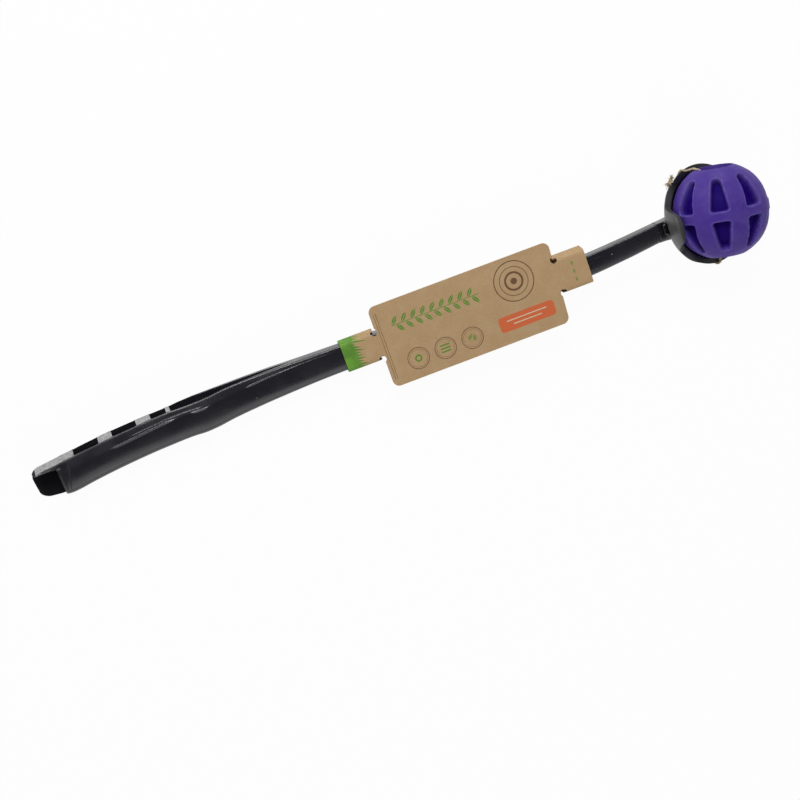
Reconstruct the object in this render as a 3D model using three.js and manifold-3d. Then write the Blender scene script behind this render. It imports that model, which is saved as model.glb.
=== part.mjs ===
import * as THREE from "three";
import { mergeVertices } from "three/addons/utils/BufferGeometryUtils.js";
import Module from "manifold-3d";

// A dog-ball launcher as it is sold: a moulded arm with a hollow grip, a cup head that snaps onto
// the arm, a rubber ball, a die-cut card sleeve round the shaft and a twine tie that holds the
// ball in the cup. Sizes are millimetres. X runs along the arm towards the cup, Z is up from the
// surface that the launcher lies on, and Y is the side that shows the grip's open pockets.

// Ball
const ballDiameter = 64;
const boreDiameter = 10;
const poleDishDiameter = 24;
const poleDishDepth = 4;
const grooveDepth = 5;
const grooveLength = 23;
const grooveWideEnd = 12.6;
const grooveNarrowEnd = 6.6;
const grooveCorner = 1.8;
const beltWidth = 8;
const grooveCount = 8;
const poleTurn = THREE.MathUtils.degToRad(-8.3);
const grooveTurn = THREE.MathUtils.degToRad(-21.3);

// Cup head
const seatGap = 0.4;
const cupWall = 4.8;
const cupLean = THREE.MathUtils.degToRad(21);
const cupTurn = THREE.MathUtils.degToRad(4);
const rimDrop = 15;
const mouthFlare = 2.2;
const mouthRise = 3.2;
const palmWidth = 31;
const palmShift = -0.25;
const palmRise = 1.85;
const bossLength = 7;
const bossFlare = 4;

// The palm's edge from its -Y foot on the rim to its +Y foot: shares of half its width, and of its
// height above the rim
const palmShares = [
  [-1, 0],
  [-0.83, 0.27],
  [-0.63, 0.63],
  [-0.24, 0.91],
  [0.08, 1],
  [0.45, 0.96],
  [0.64, 0.87],
  [0.84, 0.42],
  [1, 0],
];

// Arm: a neck at the cup end, a straight shaft and a grip
const armLength = 439;
const neckWidth = 13.6;
const neckDepth = 11;
const neckFront = 34.5;
const gripWidth = 24;
const gripDepth = 16.5;
const sideSweep = 15;
const tipRise = 1;
const backRound = 2;
const frontRound = 4;
const bevelWidth = 5;
const bevelDrop = 2.4;
const tipRound = 5;

// Each row: place along the arm from the neck to the tip, sideways sweep, width and depth between
// neck and grip, and height of the front face between grip and neck, all as shares
const armShares = [
  [0, 0.04, 0, 0, 1],
  [0.06, 0.23, 0.061, 0.03, 0.8996],
  [0.128, 0.37, 0.122, 0.07, 0.7859],
  [0.287, 0.43, 0.246, 0.18, 0.5199],
  [0.469, 0.49, 0.38, 0.29, 0.2154],
  [0.549, 0.51, 0.48, 0.4, 0.0816],
  [0.617, 0.52, 0.62, 0.65, 0.033],
  [0.686, 0.595, 0.825, 0.88, 0.008],
  [0.735, 0.65, 0.945, 1, 0],
  [0.755, 0.67, 0.93, 1, 0],
  [0.785, 0.7, 0.87, 1, 0],
  [0.811, 0.72, 0.86, 1, 0],
  [0.868, 0.82, 0.91, 1, 0],
  [0.913, 0.95, 0.94, 1, 0],
  [0.945, 1.06, 0.95, 1, 0],
  [0.97, 1.1, 0.8, 1, 0],
  [1, 1.12, 0.58, 0.98, 0],
];

// Grip pockets, open to +Y between the lands and to -Y behind them, as distances from the tip
const frontWall = 3;
const backWall = 2.6;
const sideWall = 2.7;
const webWall = 2.4;
const frontCutBack = 16.5;
const endLandLength = 29.6;
const firstPocketLength = 17.7;
const firstLandLength = 9.8;
const secondPocketLength = 16.9;
const secondLandLength = 10;
const thirdPocketLength = 10.8;
const thirdLandLength = 2.9;
const longPocketLength = 86;

// Tongue and latch of the arm, inside the head's socket
const fitGap = 0.3;
const tongueLength = 10;
const tongueWidth = 8.6;
const tongueDepth = 6.4;
const latchLength = 6.6;
const latchWidth = 7.6;
const latchSetBack = 1.2;
const latchStand = 4.4;
const latchRound = 1.5;

// Card sleeve
const cardThickness = 0.6;
const cardGap = 0.35;
const sleeveToHead = 51;
const gripCollarLength = 24.8;
const panelLength = 125.4;
const cupCollarLength = 22.2;
const cupCollarWidth = 24;
const cupCollarShift = 1.2;
const collarRound = 3;
const panelWidth = 56;
const panelShift = -2.1;
const panelCorner = 4.5;
const panelSlant = 1.2;
const notchDiameter = 4.8;

// Twine
const twineDiameter = 1.5;
const twineGap = 0.35;
const knotLoop = 1.8;
const frayLength = 5;
const frayDiameter = 0.8;

// Every cut runs this far past the face that it opens
const overrun = 3;

const wasm = await Module();
wasm.setup();

// Solids and geometry

// A closed three.js geometry, moved by an optional matrix, as a solid that can be cut and joined.
function solidFrom(geometry, matrix) {
  const plain = geometry.index ? geometry.toNonIndexed() : geometry.clone();
  plain.deleteAttribute("normal");
  plain.deleteAttribute("uv");
  if (matrix) plain.applyMatrix4(matrix);
  const merged = mergeVertices(plain, 1e-4);
  return new wasm.Manifold(
    new wasm.Mesh({
      numProp: 3,
      vertProperties: new Float32Array(merged.attributes.position.array),
      triVerts: new Uint32Array(merged.index.array),
    }),
  );
}

function geometryFrom(solid) {
  const mesh = solid.getMesh();
  const geometry = new THREE.BufferGeometry();
  const points = [];
  for (let i = 0; i < mesh.numVert; i += 1) {
    const at = i * mesh.numProp;
    points.push(mesh.vertProperties[at], mesh.vertProperties[at + 1], mesh.vertProperties[at + 2]);
  }
  geometry.setAttribute("position", new THREE.Float32BufferAttribute(points, 3));
  geometry.setIndex(Array.from(mesh.triVerts));
  geometry.computeVertexNormals();
  return geometry;
}

function boxSolid(low, high) {
  const size = high.clone().sub(low);
  const centre = low.clone().add(high).multiplyScalar(1 / 2);
  const place = new THREE.Matrix4().makeTranslation(centre.x, centre.y, centre.z);
  return solidFrom(new THREE.BoxGeometry(size.x, size.y, size.z), place);
}

// A skin over rings of equal count, closed by a fan at each end.
function loft(rings) {
  const points = [];
  const faces = [];
  const count = rings[0].length;
  rings.forEach((ring) => ring.forEach((p) => points.push(p.x, p.y, p.z)));
  for (let r = 0; r + 1 < rings.length; r += 1) {
    for (let i = 0; i < count; i += 1) {
      const a = r * count + i;
      const b = r * count + ((i + 1) % count);
      faces.push(a, b, b + count, a, b + count, a + count);
    }
  }
  [0, rings.length - 1].forEach((r, end) => {
    const middle = new THREE.Vector3();
    rings[r].forEach((p) => middle.add(p));
    middle.multiplyScalar(1 / count);
    const hub = points.length / 3;
    points.push(middle.x, middle.y, middle.z);
    for (let i = 0; i < count; i += 1) {
      const a = r * count + i;
      const b = r * count + ((i + 1) % count);
      if (end) faces.push(hub, a, b);
      else faces.push(hub, b, a);
    }
  });
  const geometry = new THREE.BufferGeometry();
  geometry.setAttribute("position", new THREE.Float32BufferAttribute(points, 3));
  geometry.setIndex(faces);
  return geometry;
}

// The points of an arc round a centre in the YZ plane, from one angle to another in degrees.
function arc(centreY, centreZ, radius, from, to, steps) {
  const points = [];
  for (let i = 0; i <= steps; i += 1) {
    const angle = THREE.MathUtils.degToRad(from + ((to - from) * i) / steps);
    points.push([centreY + radius * Math.cos(angle), centreZ + radius * Math.sin(angle)]);
  }
  return points;
}

// Places

const ballRadius = ballDiameter / 2;
const seatRadius = ballRadius + seatGap;
const cupRadius = seatRadius + cupWall;
const ballCentre = new THREE.Vector3(0, 0, cupRadius);
const seamX = -(cupRadius + bossLength);
const tipX = seamX - armLength;

// One column of the arm's table at a place along it, straight between the rows.
function armShare(x, column) {
  const along = (seamX - x) / armLength;
  const last = armShares.length - 1;
  let row = 0;
  while (row < last - 1 && armShares[row + 1][0] < along) row += 1;
  const low = armShares[row];
  const high = armShares[row + 1];
  const part = (along - low[0]) / (high[0] - low[0]);
  return low[column] + (high[column] - low[column]) * part;
}

const armSide = (x) => -sideSweep * armShare(x, 1);
const armWidth = (x) => neckWidth + (gripWidth - neckWidth) * armShare(x, 2);
const armDepth = (x) => neckDepth + (gripDepth - neckDepth) * armShare(x, 3);
const armFront = (x) => gripDepth + (neckFront - gripDepth) * armShare(x, 4);
const armBack = (x) => armFront(x) - armDepth(x);

// Arm

// The arm's section: small rounds at the back, a bevel on the front +Y edge that narrows towards
// the neck, and a large round on the front -Y edge. inset draws both sides in.
function armSection(x, inset, lift) {
  const half = armWidth(x) / 2 - inset;
  const back = armBack(x) + lift;
  const front = armFront(x);
  const grip = Math.min(1, armShare(x, 3));
  const bevel = bevelWidth * (0.45 + 0.55 * grip);
  const drop = bevelDrop * (0.7 + 0.3 * grip);
  const soft = backRound * 0.4;
  const outline = [
    ...arc(-half + backRound, back + backRound, backRound, 180, 270, 3),
    ...arc(half - backRound, back + backRound, backRound, 270, 360, 3),
    [half, front - drop - soft],
    [half - soft, front - drop],
    [half - bevel + soft, front - soft / 4],
    [half - bevel - soft, front],
    ...arc(-half + frontRound, front - frontRound, frontRound, 90, 180, 4),
  ];
  return outline.map(([y, z]) => new THREE.Vector3(x, armSide(x) + y, z));
}

// Stations from the tip, where the plan is rounded, to the neck.
function armBody() {
  const rings = [];
  const tipSteps = 5;
  for (let i = 0; i <= tipSteps; i += 1) {
    const angle = (Math.PI / 2) * (i / tipSteps);
    const x = tipX + tipRound * (1 - Math.cos(angle));
    const inset = tipRound * (1 - Math.sin(angle)) * 0.9;
    rings.push(armSection(x, inset, tipRise * (1 - i / tipSteps)));
  }
  armShares
    .map((row) => seamX - armLength * row[0])
    .filter((x) => x > tipX + tipRound * 1.2)
    .sort((a, b) => a - b)
    .forEach((x) => rings.push(armSection(x, 0, 0)));
  return solidFrom(loft(rings));
}

// A pocket between two places along the grip, from one side to the inside of the other side wall.
function pocket(fromX, toX, openSide) {
  const middle = (fromX + toX) / 2;
  const half = armWidth(middle) / 2;
  const low = new THREE.Vector3(fromX, armSide(middle) - half, armBack(middle) + backWall);
  const high = new THREE.Vector3(toX, armSide(middle) + half, armFront(middle) - frontWall);
  if (openSide > 0) {
    low.y += sideWall;
    high.y += overrun;
  } else {
    low.y -= overrun;
    high.y -= sideWall;
  }
  return boxSolid(low, high);
}

// The long pocket follows the -Y wall in plan and closes to an edge towards the shaft.
function longPocket(fromX, toX) {
  const plan = new THREE.Shape();
  const steps = 4;
  plan.moveTo(toX, armSide(toX) + armWidth(toX) + overrun);
  plan.lineTo(fromX, armSide(fromX) + armWidth(fromX) + overrun);
  for (let i = 0; i <= steps; i += 1) {
    const x = fromX + ((toX - fromX) * i) / steps;
    plan.lineTo(x, armSide(x) - armWidth(x) / 2 + sideWall);
  }
  const tall = new THREE.ExtrudeGeometry(plan, { depth: neckFront, bevelEnabled: false });
  const side = new THREE.Shape();
  const closeZ = (armBack(toX) + armFront(toX)) / 2;
  side.moveTo(fromX, armBack(fromX) + backWall);
  side.lineTo(toX, closeZ - fitGap);
  side.lineTo(toX, closeZ + fitGap);
  side.lineTo(fromX, armFront(fromX) - frontWall);
  const reach = gripWidth + sideSweep + overrun;
  const wedge = new THREE.ExtrudeGeometry(side, { depth: 2 * reach, bevelEnabled: false });
  const upright = new THREE.Matrix4()
    .makeTranslation(0, reach, 0)
    .multiply(new THREE.Matrix4().makeRotationX(Math.PI / 2));
  return solidFrom(tall).intersect(solidFrom(wedge, upright));
}

// The end cavity is open at the tip and to -Y, and the front wall stops short of the tip.
function endCavity(innerX) {
  const x = tipX + frontCutBack;
  const outer = armSide(x) + armWidth(x) / 2;
  const low = new THREE.Vector3(tipX - overrun, outer - 2 * gripWidth, armBack(x) + backWall);
  const cavity = boxSolid(low, new THREE.Vector3(innerX, outer - sideWall, gripDepth - frontWall));
  const open = boxSolid(low, new THREE.Vector3(x, outer - sideWall, gripDepth + overrun));
  return cavity.add(open);
}

function gripPockets() {
  const edges = [endLandLength, firstPocketLength, firstLandLength, secondPocketLength];
  edges.push(secondLandLength, thirdPocketLength, thirdLandLength, longPocketLength);
  let x = tipX;
  const places = edges.map((length) => (x += length));
  const [endLand, pocket1, land1, pocket2, land2, pocket3, land3, longEnd] = places;
  return [
    endCavity(endLand - webWall),
    pocket(endLand, pocket1, 1),
    pocket(pocket1 + webWall, land1 - webWall, -1),
    pocket(land1, pocket2, 1),
    pocket(pocket2 + webWall, land2 - webWall, -1),
    pocket(land2, pocket3, 1),
    longPocket(land3, longEnd),
  ];
}

const neckMiddle = new THREE.Vector3(seamX, armSide(seamX), neckFront - neckDepth / 2);
const latchTop = neckFront + latchStand;
const latchEndX = seamX + tongueLength - latchSetBack;

// The latch block: a rounded column that stands on the tongue and shows in the head's window.
function latchBlock(margin, top) {
  const outline = new THREE.Shape();
  const x0 = latchEndX - latchLength - margin;
  const x1 = latchEndX + margin;
  const y0 = neckMiddle.y - latchWidth / 2 - margin;
  const y1 = neckMiddle.y + latchWidth / 2 + margin;
  const r = latchRound;
  outline.moveTo(x0 + r, y0);
  outline.lineTo(x1 - r, y0);
  outline.absarc(x1 - r, y0 + r, r, -Math.PI / 2, 0);
  outline.absarc(x1 - r, y1 - r, r, 0, Math.PI / 2);
  outline.absarc(x0 + r, y1 - r, r, Math.PI / 2, Math.PI);
  outline.absarc(x0 + r, y0 + r, r, Math.PI, 1.5 * Math.PI);
  const depth = top - neckMiddle.z;
  const block = new THREE.ExtrudeGeometry(outline, { depth, bevelEnabled: false, curveSegments: 4 });
  return solidFrom(block, new THREE.Matrix4().makeTranslation(0, 0, neckMiddle.z));
}

function tongue(margin, length) {
  const half = new THREE.Vector3(0, tongueWidth / 2 + margin, tongueDepth / 2 + margin);
  const low = neckMiddle.clone().sub(half);
  const high = neckMiddle.clone().add(half);
  low.x = seamX - overrun;
  high.x = seamX + length;
  return boxSolid(low, high);
}

function makeArm() {
  let arm = armBody();
  gripPockets().forEach((cut) => {
    arm = arm.subtract(cut);
  });
  return arm.add(tongue(0, tongueLength)).add(latchBlock(0, latchTop));
}

// Cup head

const cupPlace = new THREE.Matrix4()
  .makeTranslation(ballCentre.x, ballCentre.y, ballCentre.z)
  .multiply(new THREE.Matrix4().makeRotationY(cupLean))
  .multiply(new THREE.Matrix4().makeRotationX(-cupTurn));

// The palm's outline across the cup: an arch that stands on the rim.
function palmOutline() {
  const height = rimDrop + palmRise;
  const edge = palmShares.map(
    ([side, up]) => new THREE.Vector2(palmShift + (palmWidth / 2) * side, height * up - rimDrop),
  );
  const arch = new THREE.Shape();
  arch.moveTo(edge[0].x, edge[0].y - overrun);
  arch.lineTo(edge[0].x, edge[0].y);
  arch.splineThru(edge.slice(1));
  arch.lineTo(edge.at(-1).x, edge.at(-1).y - overrun);
  return arch;
}

// The space inside the cup: the ball's seat, and a wider sphere higher up that opens the mouth.
function cupSpace() {
  const poleUp = new THREE.Matrix4().makeRotationX(Math.PI / 2);
  const seat = solidFrom(new THREE.SphereGeometry(seatRadius, 48, 32), poleUp);
  const mouthPlace = new THREE.Matrix4().makeTranslation(0, 0, mouthRise).multiply(poleUp);
  return seat.add(solidFrom(new THREE.SphereGeometry(seatRadius + mouthFlare, 48, 32), mouthPlace));
}

// A skin round that space, from the bottom of the cup up to the rim, and up to the palm's top on
// the arm's side.
function cupShell() {
  const poleUp = new THREE.Matrix4().makeRotationX(Math.PI / 2);
  const outer = solidFrom(new THREE.SphereGeometry(cupRadius, 48, 32), poleUp);
  const skin = outer.subtract(cupSpace());
  const reach = cupRadius + overrun;
  const bowl = skin.intersect(
    boxSolid(new THREE.Vector3(-reach, -reach, -reach), new THREE.Vector3(reach, reach, -rimDrop)),
  );
  const alongX = new THREE.Matrix4().makeBasis(
    new THREE.Vector3(0, 1, 0),
    new THREE.Vector3(0, 0, 1),
    new THREE.Vector3(1, 0, 0),
  );
  alongX.setPosition(-reach, 0, 0);
  const block = new THREE.ExtrudeGeometry(palmOutline(), {
    depth: cupRadius,
    bevelEnabled: false,
    curveSegments: 16,
  });
  const palm = skin.intersect(solidFrom(block, alongX));
  return bowl.add(palm);
}

// The boss carries on the arm's section and flares where it runs into the shell.
function bossBody() {
  const end = seamX + bossLength + cupWall;
  const steps = 6;
  const rings = [];
  for (let i = 0; i <= steps; i += 1) {
    const part = i / steps;
    const x = seamX + fitGap + (end - seamX - fitGap) * part;
    const grow = 1 + (bossFlare / neckWidth) * 2 * part * part;
    const ring = armSection(seamX, 0, 0).map((p) => {
      const y = neckMiddle.y + (p.y - neckMiddle.y) * grow;
      const z = neckMiddle.z + (p.z - neckMiddle.z) * grow;
      return new THREE.Vector3(x, y, z);
    });
    rings.push(ring);
  }
  return solidFrom(loft(rings));
}

function makeCupHead() {
  const shell = cupShell().transform(cupPlace.elements);
  return shell
    .add(bossBody().subtract(cupSpace().transform(cupPlace.elements)))
    .subtract(tongue(fitGap, tongueLength + fitGap))
    .subtract(latchBlock(fitGap, latchTop + overrun));
}

// Ball

// The cutter of one groove at the equator's +X, towards the +Y pole: wide next to the belt and
// narrow next to the pole, down to a floor that follows the ball.
function grooveCutter() {
  const startAngle = beltWidth / 2 / ballRadius;
  const halfAngle = grooveLength / 2 / ballRadius;
  const middleAngle = startAngle + halfAngle;
  const reach = ballRadius * Math.sin(halfAngle);
  const wide = grooveWideEnd / 2;
  const narrow = grooveNarrowEnd / 2;
  const r = grooveCorner;
  const outline = new THREE.Shape();
  outline.moveTo(-wide + r, -reach);
  outline.quadraticCurveTo(0, -reach - r / 2, wide - r, -reach);
  outline.quadraticCurveTo(wide, -reach, wide, -reach + r);
  outline.lineTo(narrow, reach - narrow);
  outline.absarc(0, reach - narrow, narrow, 0, Math.PI);
  outline.lineTo(-wide, -reach + r);
  outline.quadraticCurveTo(-wide, -reach, -wide + r, -reach);
  const floor = (ballRadius - grooveDepth) * Math.cos(halfAngle) - overrun;
  const block = new THREE.ExtrudeGeometry(outline, {
    depth: ballRadius + overrun - floor,
    bevelEnabled: false,
    curveSegments: 3,
  });
  const out = new THREE.Vector3(Math.cos(middleAngle), Math.sin(middleAngle), 0);
  const north = new THREE.Vector3(-Math.sin(middleAngle), Math.cos(middleAngle), 0);
  const east = north.clone().cross(out);
  const place = new THREE.Matrix4().makeBasis(east, north, out);
  place.setPosition(out.clone().multiplyScalar(floor));
  const core = solidFrom(new THREE.SphereGeometry(ballRadius - grooveDepth, 24, 16));
  return solidFrom(block, place).subtract(core);
}

function makeBall() {
  let ball = solidFrom(new THREE.SphereGeometry(ballRadius, 40, 26));
  const cutter = grooveCutter();
  const flip = new THREE.Matrix4().makeRotationX(Math.PI);
  for (let i = 0; i < grooveCount; i += 1) {
    const turn = new THREE.Matrix4().makeRotationY((2 * Math.PI * i) / grooveCount);
    ball = ball.subtract(cutter.transform(turn.elements));
    ball = ball.subtract(cutter.transform(turn.clone().multiply(flip).elements));
  }
  const length = ballDiameter + overrun;
  const bore = new THREE.CylinderGeometry(boreDiameter / 2, boreDiameter / 2, length, 20);
  ball = ball.subtract(solidFrom(bore));
  const dish = new THREE.CylinderGeometry(
    poleDishDiameter / 2,
    poleDishDiameter / 2,
    poleDishDepth + overrun,
    28,
  );
  [-1, 1].forEach((end) => {
    const y = end * (ballRadius - poleDishDepth + (poleDishDepth + overrun) / 2);
    ball = ball.subtract(solidFrom(dish, new THREE.Matrix4().makeTranslation(0, y, 0)));
  });
  return ball;
}

// Card sleeve

const cupEndX = seamX - sleeveToHead;
const sleeveLength = gripCollarLength + panelLength + cupCollarLength;
const gripEndX = cupEndX - sleeveLength;
const sleevePitch = Math.atan2(armFront(cupEndX) - armFront(gripEndX), sleeveLength);
const sleeveYaw = Math.atan2(armSide(cupEndX) - armSide(gripEndX), sleeveLength);
const gripCollarWidth = armWidth(gripEndX) + 2 * (cardGap + cardThickness);
const collarDepth = armDepth(gripEndX) / Math.cos(sleevePitch) + 2 * cardGap;

// The flat front of the card: the panel, and at each end a strip that runs into a collar.
function cardFront() {
  const grip = gripCollarWidth / 2 - collarRound;
  const cup = cupCollarWidth / 2 - collarRound;
  const low = panelShift - panelWidth / 2;
  const high = panelShift + panelWidth / 2;
  const x1 = gripCollarLength;
  const x2 = x1 + panelLength;
  const r = panelCorner;
  const card = new THREE.Shape();
  card.moveTo(x1 - notchDiameter, -grip);
  card.lineTo(x1, -grip);
  card.lineTo(x1, low + r);
  card.absarc(x1 + r, low + r, r, Math.PI, 1.5 * Math.PI);
  card.absarc(x2 - panelSlant - r, low + r, r, 1.5 * Math.PI, 2 * Math.PI);
  card.lineTo(x2, cupCollarShift - cup);
  card.lineTo(x2 + notchDiameter, cupCollarShift - cup);
  card.lineTo(x2 + notchDiameter, cupCollarShift + cup);
  card.lineTo(x2, cupCollarShift + cup);
  card.absarc(x2 + panelSlant - r, high - r, r, 0, Math.PI / 2);
  card.absarc(x1 + r, high - r, r, Math.PI / 2, Math.PI);
  card.lineTo(x1, grip);
  card.lineTo(x1 - notchDiameter, grip);
  return solidFrom(
    new THREE.ExtrudeGeometry(card, { depth: cardThickness, bevelEnabled: false, curveSegments: 6 }),
  );
}

// A block along X with rounded edges, as a collar's outside or as the room inside it.
function roundedBlock(fromX, toX, low, high, radius) {
  const section = new THREE.Shape();
  section.absarc(high.x - radius, high.y - radius, radius, 0, Math.PI / 2);
  section.absarc(low.x + radius, high.y - radius, radius, Math.PI / 2, Math.PI);
  section.absarc(low.x + radius, low.y + radius, radius, Math.PI, 1.5 * Math.PI);
  section.absarc(high.x - radius, low.y + radius, radius, 1.5 * Math.PI, 2 * Math.PI);
  const depth = toX - fromX;
  const block = new THREE.ExtrudeGeometry(section, { depth, bevelEnabled: false, curveSegments: 5 });
  const alongX = new THREE.Matrix4().makeBasis(
    new THREE.Vector3(0, 1, 0),
    new THREE.Vector3(0, 0, 1),
    new THREE.Vector3(1, 0, 0),
  );
  return solidFrom(block, alongX.setPosition(fromX, 0, 0));
}

// A collar: the card folded into a closed tube, its front flush with the panel.
function collar(fromX, toX, shift, width) {
  const half = width / 2;
  const t = cardThickness;
  const outer = [new THREE.Vector2(shift - half, -collarDepth - t), new THREE.Vector2(shift + half, t)];
  const inner = [new THREE.Vector2(shift - half + t, -collarDepth), new THREE.Vector2(shift + half - t, 0)];
  const room = roundedBlock(fromX - overrun, toX + overrun, ...inner, collarRound - t);
  return roundedBlock(fromX, toX, ...outer, collarRound).subtract(room);
}

function makeSleeve() {
  const panelEnd = gripCollarLength + panelLength;
  const fold = notchDiameter / 4;
  let sleeve = cardFront()
    .add(collar(0, gripCollarLength - fold, 0, gripCollarWidth))
    .add(collar(panelEnd + fold, sleeveLength, cupCollarShift, cupCollarWidth));
  const height = 2 * (collarDepth + overrun);
  const notch = new THREE.CylinderGeometry(notchDiameter / 2, notchDiameter / 2, height, 16);
  [
    [gripCollarLength - fold, gripCollarWidth / 2],
    [gripCollarLength - fold, -gripCollarWidth / 2],
    [panelEnd + fold, cupCollarShift + cupCollarWidth / 2],
    [panelEnd + fold, cupCollarShift - cupCollarWidth / 2],
  ].forEach(([x, y]) => {
    const place = new THREE.Matrix4().makeTranslation(x, y, 0);
    place.multiply(new THREE.Matrix4().makeRotationX(Math.PI / 2));
    sleeve = sleeve.subtract(solidFrom(notch, place));
  });
  return sleeve;
}

// Twine

// The route runs from the knot over the upper rim, through the ball from pole to pole, over the
// lower rim and round the bottom of the cup back to the knot. It is laid out in the cup's frame: X
// away from the arm, Z out of the cup, azimuths from X towards Y and elevations from the XY plane.
const twineStand = twineDiameter / 2 + twineGap;
const mouthRadius = seatRadius + mouthFlare;
const rimInner = Math.sqrt(mouthRadius ** 2 - (rimDrop + mouthRise) ** 2);
const rimOuter = Math.sqrt(cupRadius ** 2 - rimDrop ** 2);
const dishRadius = poleDishDiameter / 2;
const dishEdge = Math.sqrt(ballRadius ** 2 - dishRadius ** 2);
const pole = new THREE.Vector3(0, 1, 0)
  .applyAxisAngle(new THREE.Vector3(0, 0, 1), poleTurn)
  .transformDirection(cupPlace.clone().invert());
const poleDown = new THREE.Vector3(0, 0, -1).addScaledVector(pole, pole.z).normalize();

function fromCentre(azimuth, elevation, reach) {
  const a = THREE.MathUtils.degToRad(azimuth);
  const flat = reach * Math.cos(THREE.MathUtils.degToRad(elevation));
  const height = reach * Math.sin(THREE.MathUtils.degToRad(elevation));
  return new THREE.Vector3(flat * Math.cos(a), flat * Math.sin(a), height);
}

// Behind the cup, at a number of twine stands off the shell.
const onShell = (azimuth, elevation, stands) =>
  fromCentre(azimuth, elevation, cupRadius + stands * twineStand);

// Over the rim, at a share of its width from the mouth outwards.
function onRim(azimuth, share, stands) {
  const point = fromCentre(azimuth, 0, rimInner + (rimOuter - rimInner) * share);
  point.z = stands * twineStand - rimDrop;
  return point;
}

// In the dish at one pole, over its edge's height, at a share of its radius towards the cup.
const inDish = (end, stands, share) =>
  pole
    .clone()
    .multiplyScalar(end * (dishEdge + stands * twineStand))
    .addScaledVector(poleDown, share * dishRadius);

const inBore = (share) => pole.clone().multiplyScalar(share * (ballRadius - poleDishDepth));

const twineRoute = [
  onShell(123.1, -26.1, 1.7),
  onShell(118.8, -22.9, 1.05),
  onRim(113, 1.16, 1),
  onRim(105, 0.85, 1),
  onRim(96.8, 0.58, 1),
  onRim(89.6, 0.41, 1.3),
  fromCentre(85.3, -20.5, ballRadius + 1.5 * twineStand),
  inDish(1, 0.96, 1.02),
  inDish(1, 0.5, 0.68),
  inDish(1, -0.8, 0.19),
  inBore(0.93),
  inBore(0.5),
  inBore(0),
  inBore(-0.5),
  inBore(-0.96),
  inDish(-1, 0.5, 0.38),
  onRim(-95.2, 0.37, 1.8),
  onRim(-95.4, 0.94, 1.1),
  onShell(-96.1, -23, 1.25),
  onShell(-98.5, -29.5, 1.4),
  onShell(-107.4, -46.1, 1.3),
  onShell(-126.9, -63, 1.3),
  onShell(-170.5, -71.7, 1.3),
  onShell(151.1, -64.6, 1.3),
  onShell(134.5, -51.8, 1.4),
  onShell(126.5, -37.5, 1.6),
  onShell(123.1, -26.1, 1.7),
];

function tubeAlong(points, diameter, sides, steps) {
  const section = new THREE.Shape();
  for (let i = 0; i < sides; i += 1) {
    const angle = (2 * Math.PI * i) / sides;
    const x = (diameter / 2) * Math.cos(angle);
    const y = (diameter / 2) * Math.sin(angle);
    if (i) section.lineTo(x, y);
    else section.moveTo(x, y);
  }
  const extrudePath = new THREE.CatmullRomCurve3(points, false, "centripetal");
  return solidFrom(new THREE.ExtrudeGeometry(section, { steps, bevelEnabled: false, extrudePath }));
}

// Two loops of the knot and four loose ends that fan out from it.
function knot() {
  const centre = twineRoute[0];
  const out = centre.clone().normalize();
  const along = new THREE.Vector3(0, 0, 1).cross(out).normalize();
  const across = out.clone().cross(along);
  const lift = centre.clone().addScaledVector(out, knotLoop - twineDiameter / 2);
  const flat = new THREE.Matrix4().makeBasis(along, across, out).setPosition(lift);
  const upright = new THREE.Matrix4().makeBasis(across, out, along).setPosition(lift);
  const loop = new THREE.TorusGeometry(knotLoop * 0.8, twineDiameter * 0.45, 6, 12);
  let tied = solidFrom(loop, flat).add(solidFrom(loop, upright));
  [-0.5, -0.15, 2.4, 2.8].forEach((angle) => {
    const way = along.clone().multiplyScalar(Math.cos(angle));
    way.addScaledVector(across, Math.sin(angle)).addScaledVector(out, 0.25).normalize();
    const mid = lift.clone().addScaledVector(way, frayLength / 2);
    const end = mid.clone().addScaledVector(way, frayLength / 2).addScaledVector(out, frayDiameter);
    tied = tied.add(tubeAlong([lift, mid, end], frayDiameter, 5, 3));
  });
  return tied;
}

function makeTwine() {
  return tubeAlong(twineRoute, twineDiameter, 8, 60).add(knot());
}

// Materials and scene

function named(name, solid, finish) {
  const mesh = new THREE.Mesh(geometryFrom(solid), new THREE.MeshStandardMaterial(finish));
  mesh.name = name;
  return mesh;
}

const blackPlastic = { color: 0x1c1d20, roughness: 0.38, metalness: 0 };
const purpleRubber = { color: 0x48368a, roughness: 0.62, metalness: 0 };
const kraftCard = { color: 0xa88d6a, roughness: 0.85, metalness: 0 };
const naturalTwine = { color: 0xc8b891, roughness: 0.9, metalness: 0 };

const launcher = new THREE.Group();
launcher.add(named("arm", makeArm(), blackPlastic));
launcher.add(named("cup_head", makeCupHead(), blackPlastic));

const ball = named("ball", makeBall(), purpleRubber);
ball.position.copy(ballCentre);
ball.rotation.set(0, grooveTurn, poleTurn, "ZYX");
launcher.add(ball);

const sleeve = named("card_sleeve", makeSleeve(), kraftCard);
sleeve.position.set(gripEndX, armSide(gripEndX), armFront(gripEndX) + cardGap);
sleeve.rotation.set(0, -sleevePitch, sleeveYaw, "ZYX");
launcher.add(sleeve);

const twine = named("twine_tie", makeTwine(), naturalTwine);
twine.applyMatrix4(cupPlace);
launcher.add(twine);

// The part's own origin is under the middle of the launcher, on the surface that it lies on.
launcher.updateMatrixWorld(true);
const bounds = new THREE.Box3().setFromObject(launcher, true);
const middle = bounds.getCenter(new THREE.Vector3());
launcher.position.set(-middle.x, -middle.y, -bounds.min.z);

const part = new THREE.Group();
part.add(launcher);

export default part;
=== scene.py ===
import math

import bpy
import numpy as np
from mathutils import Matrix, Vector
from mathutils.geometry import delaunay_2d_cdt


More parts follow.
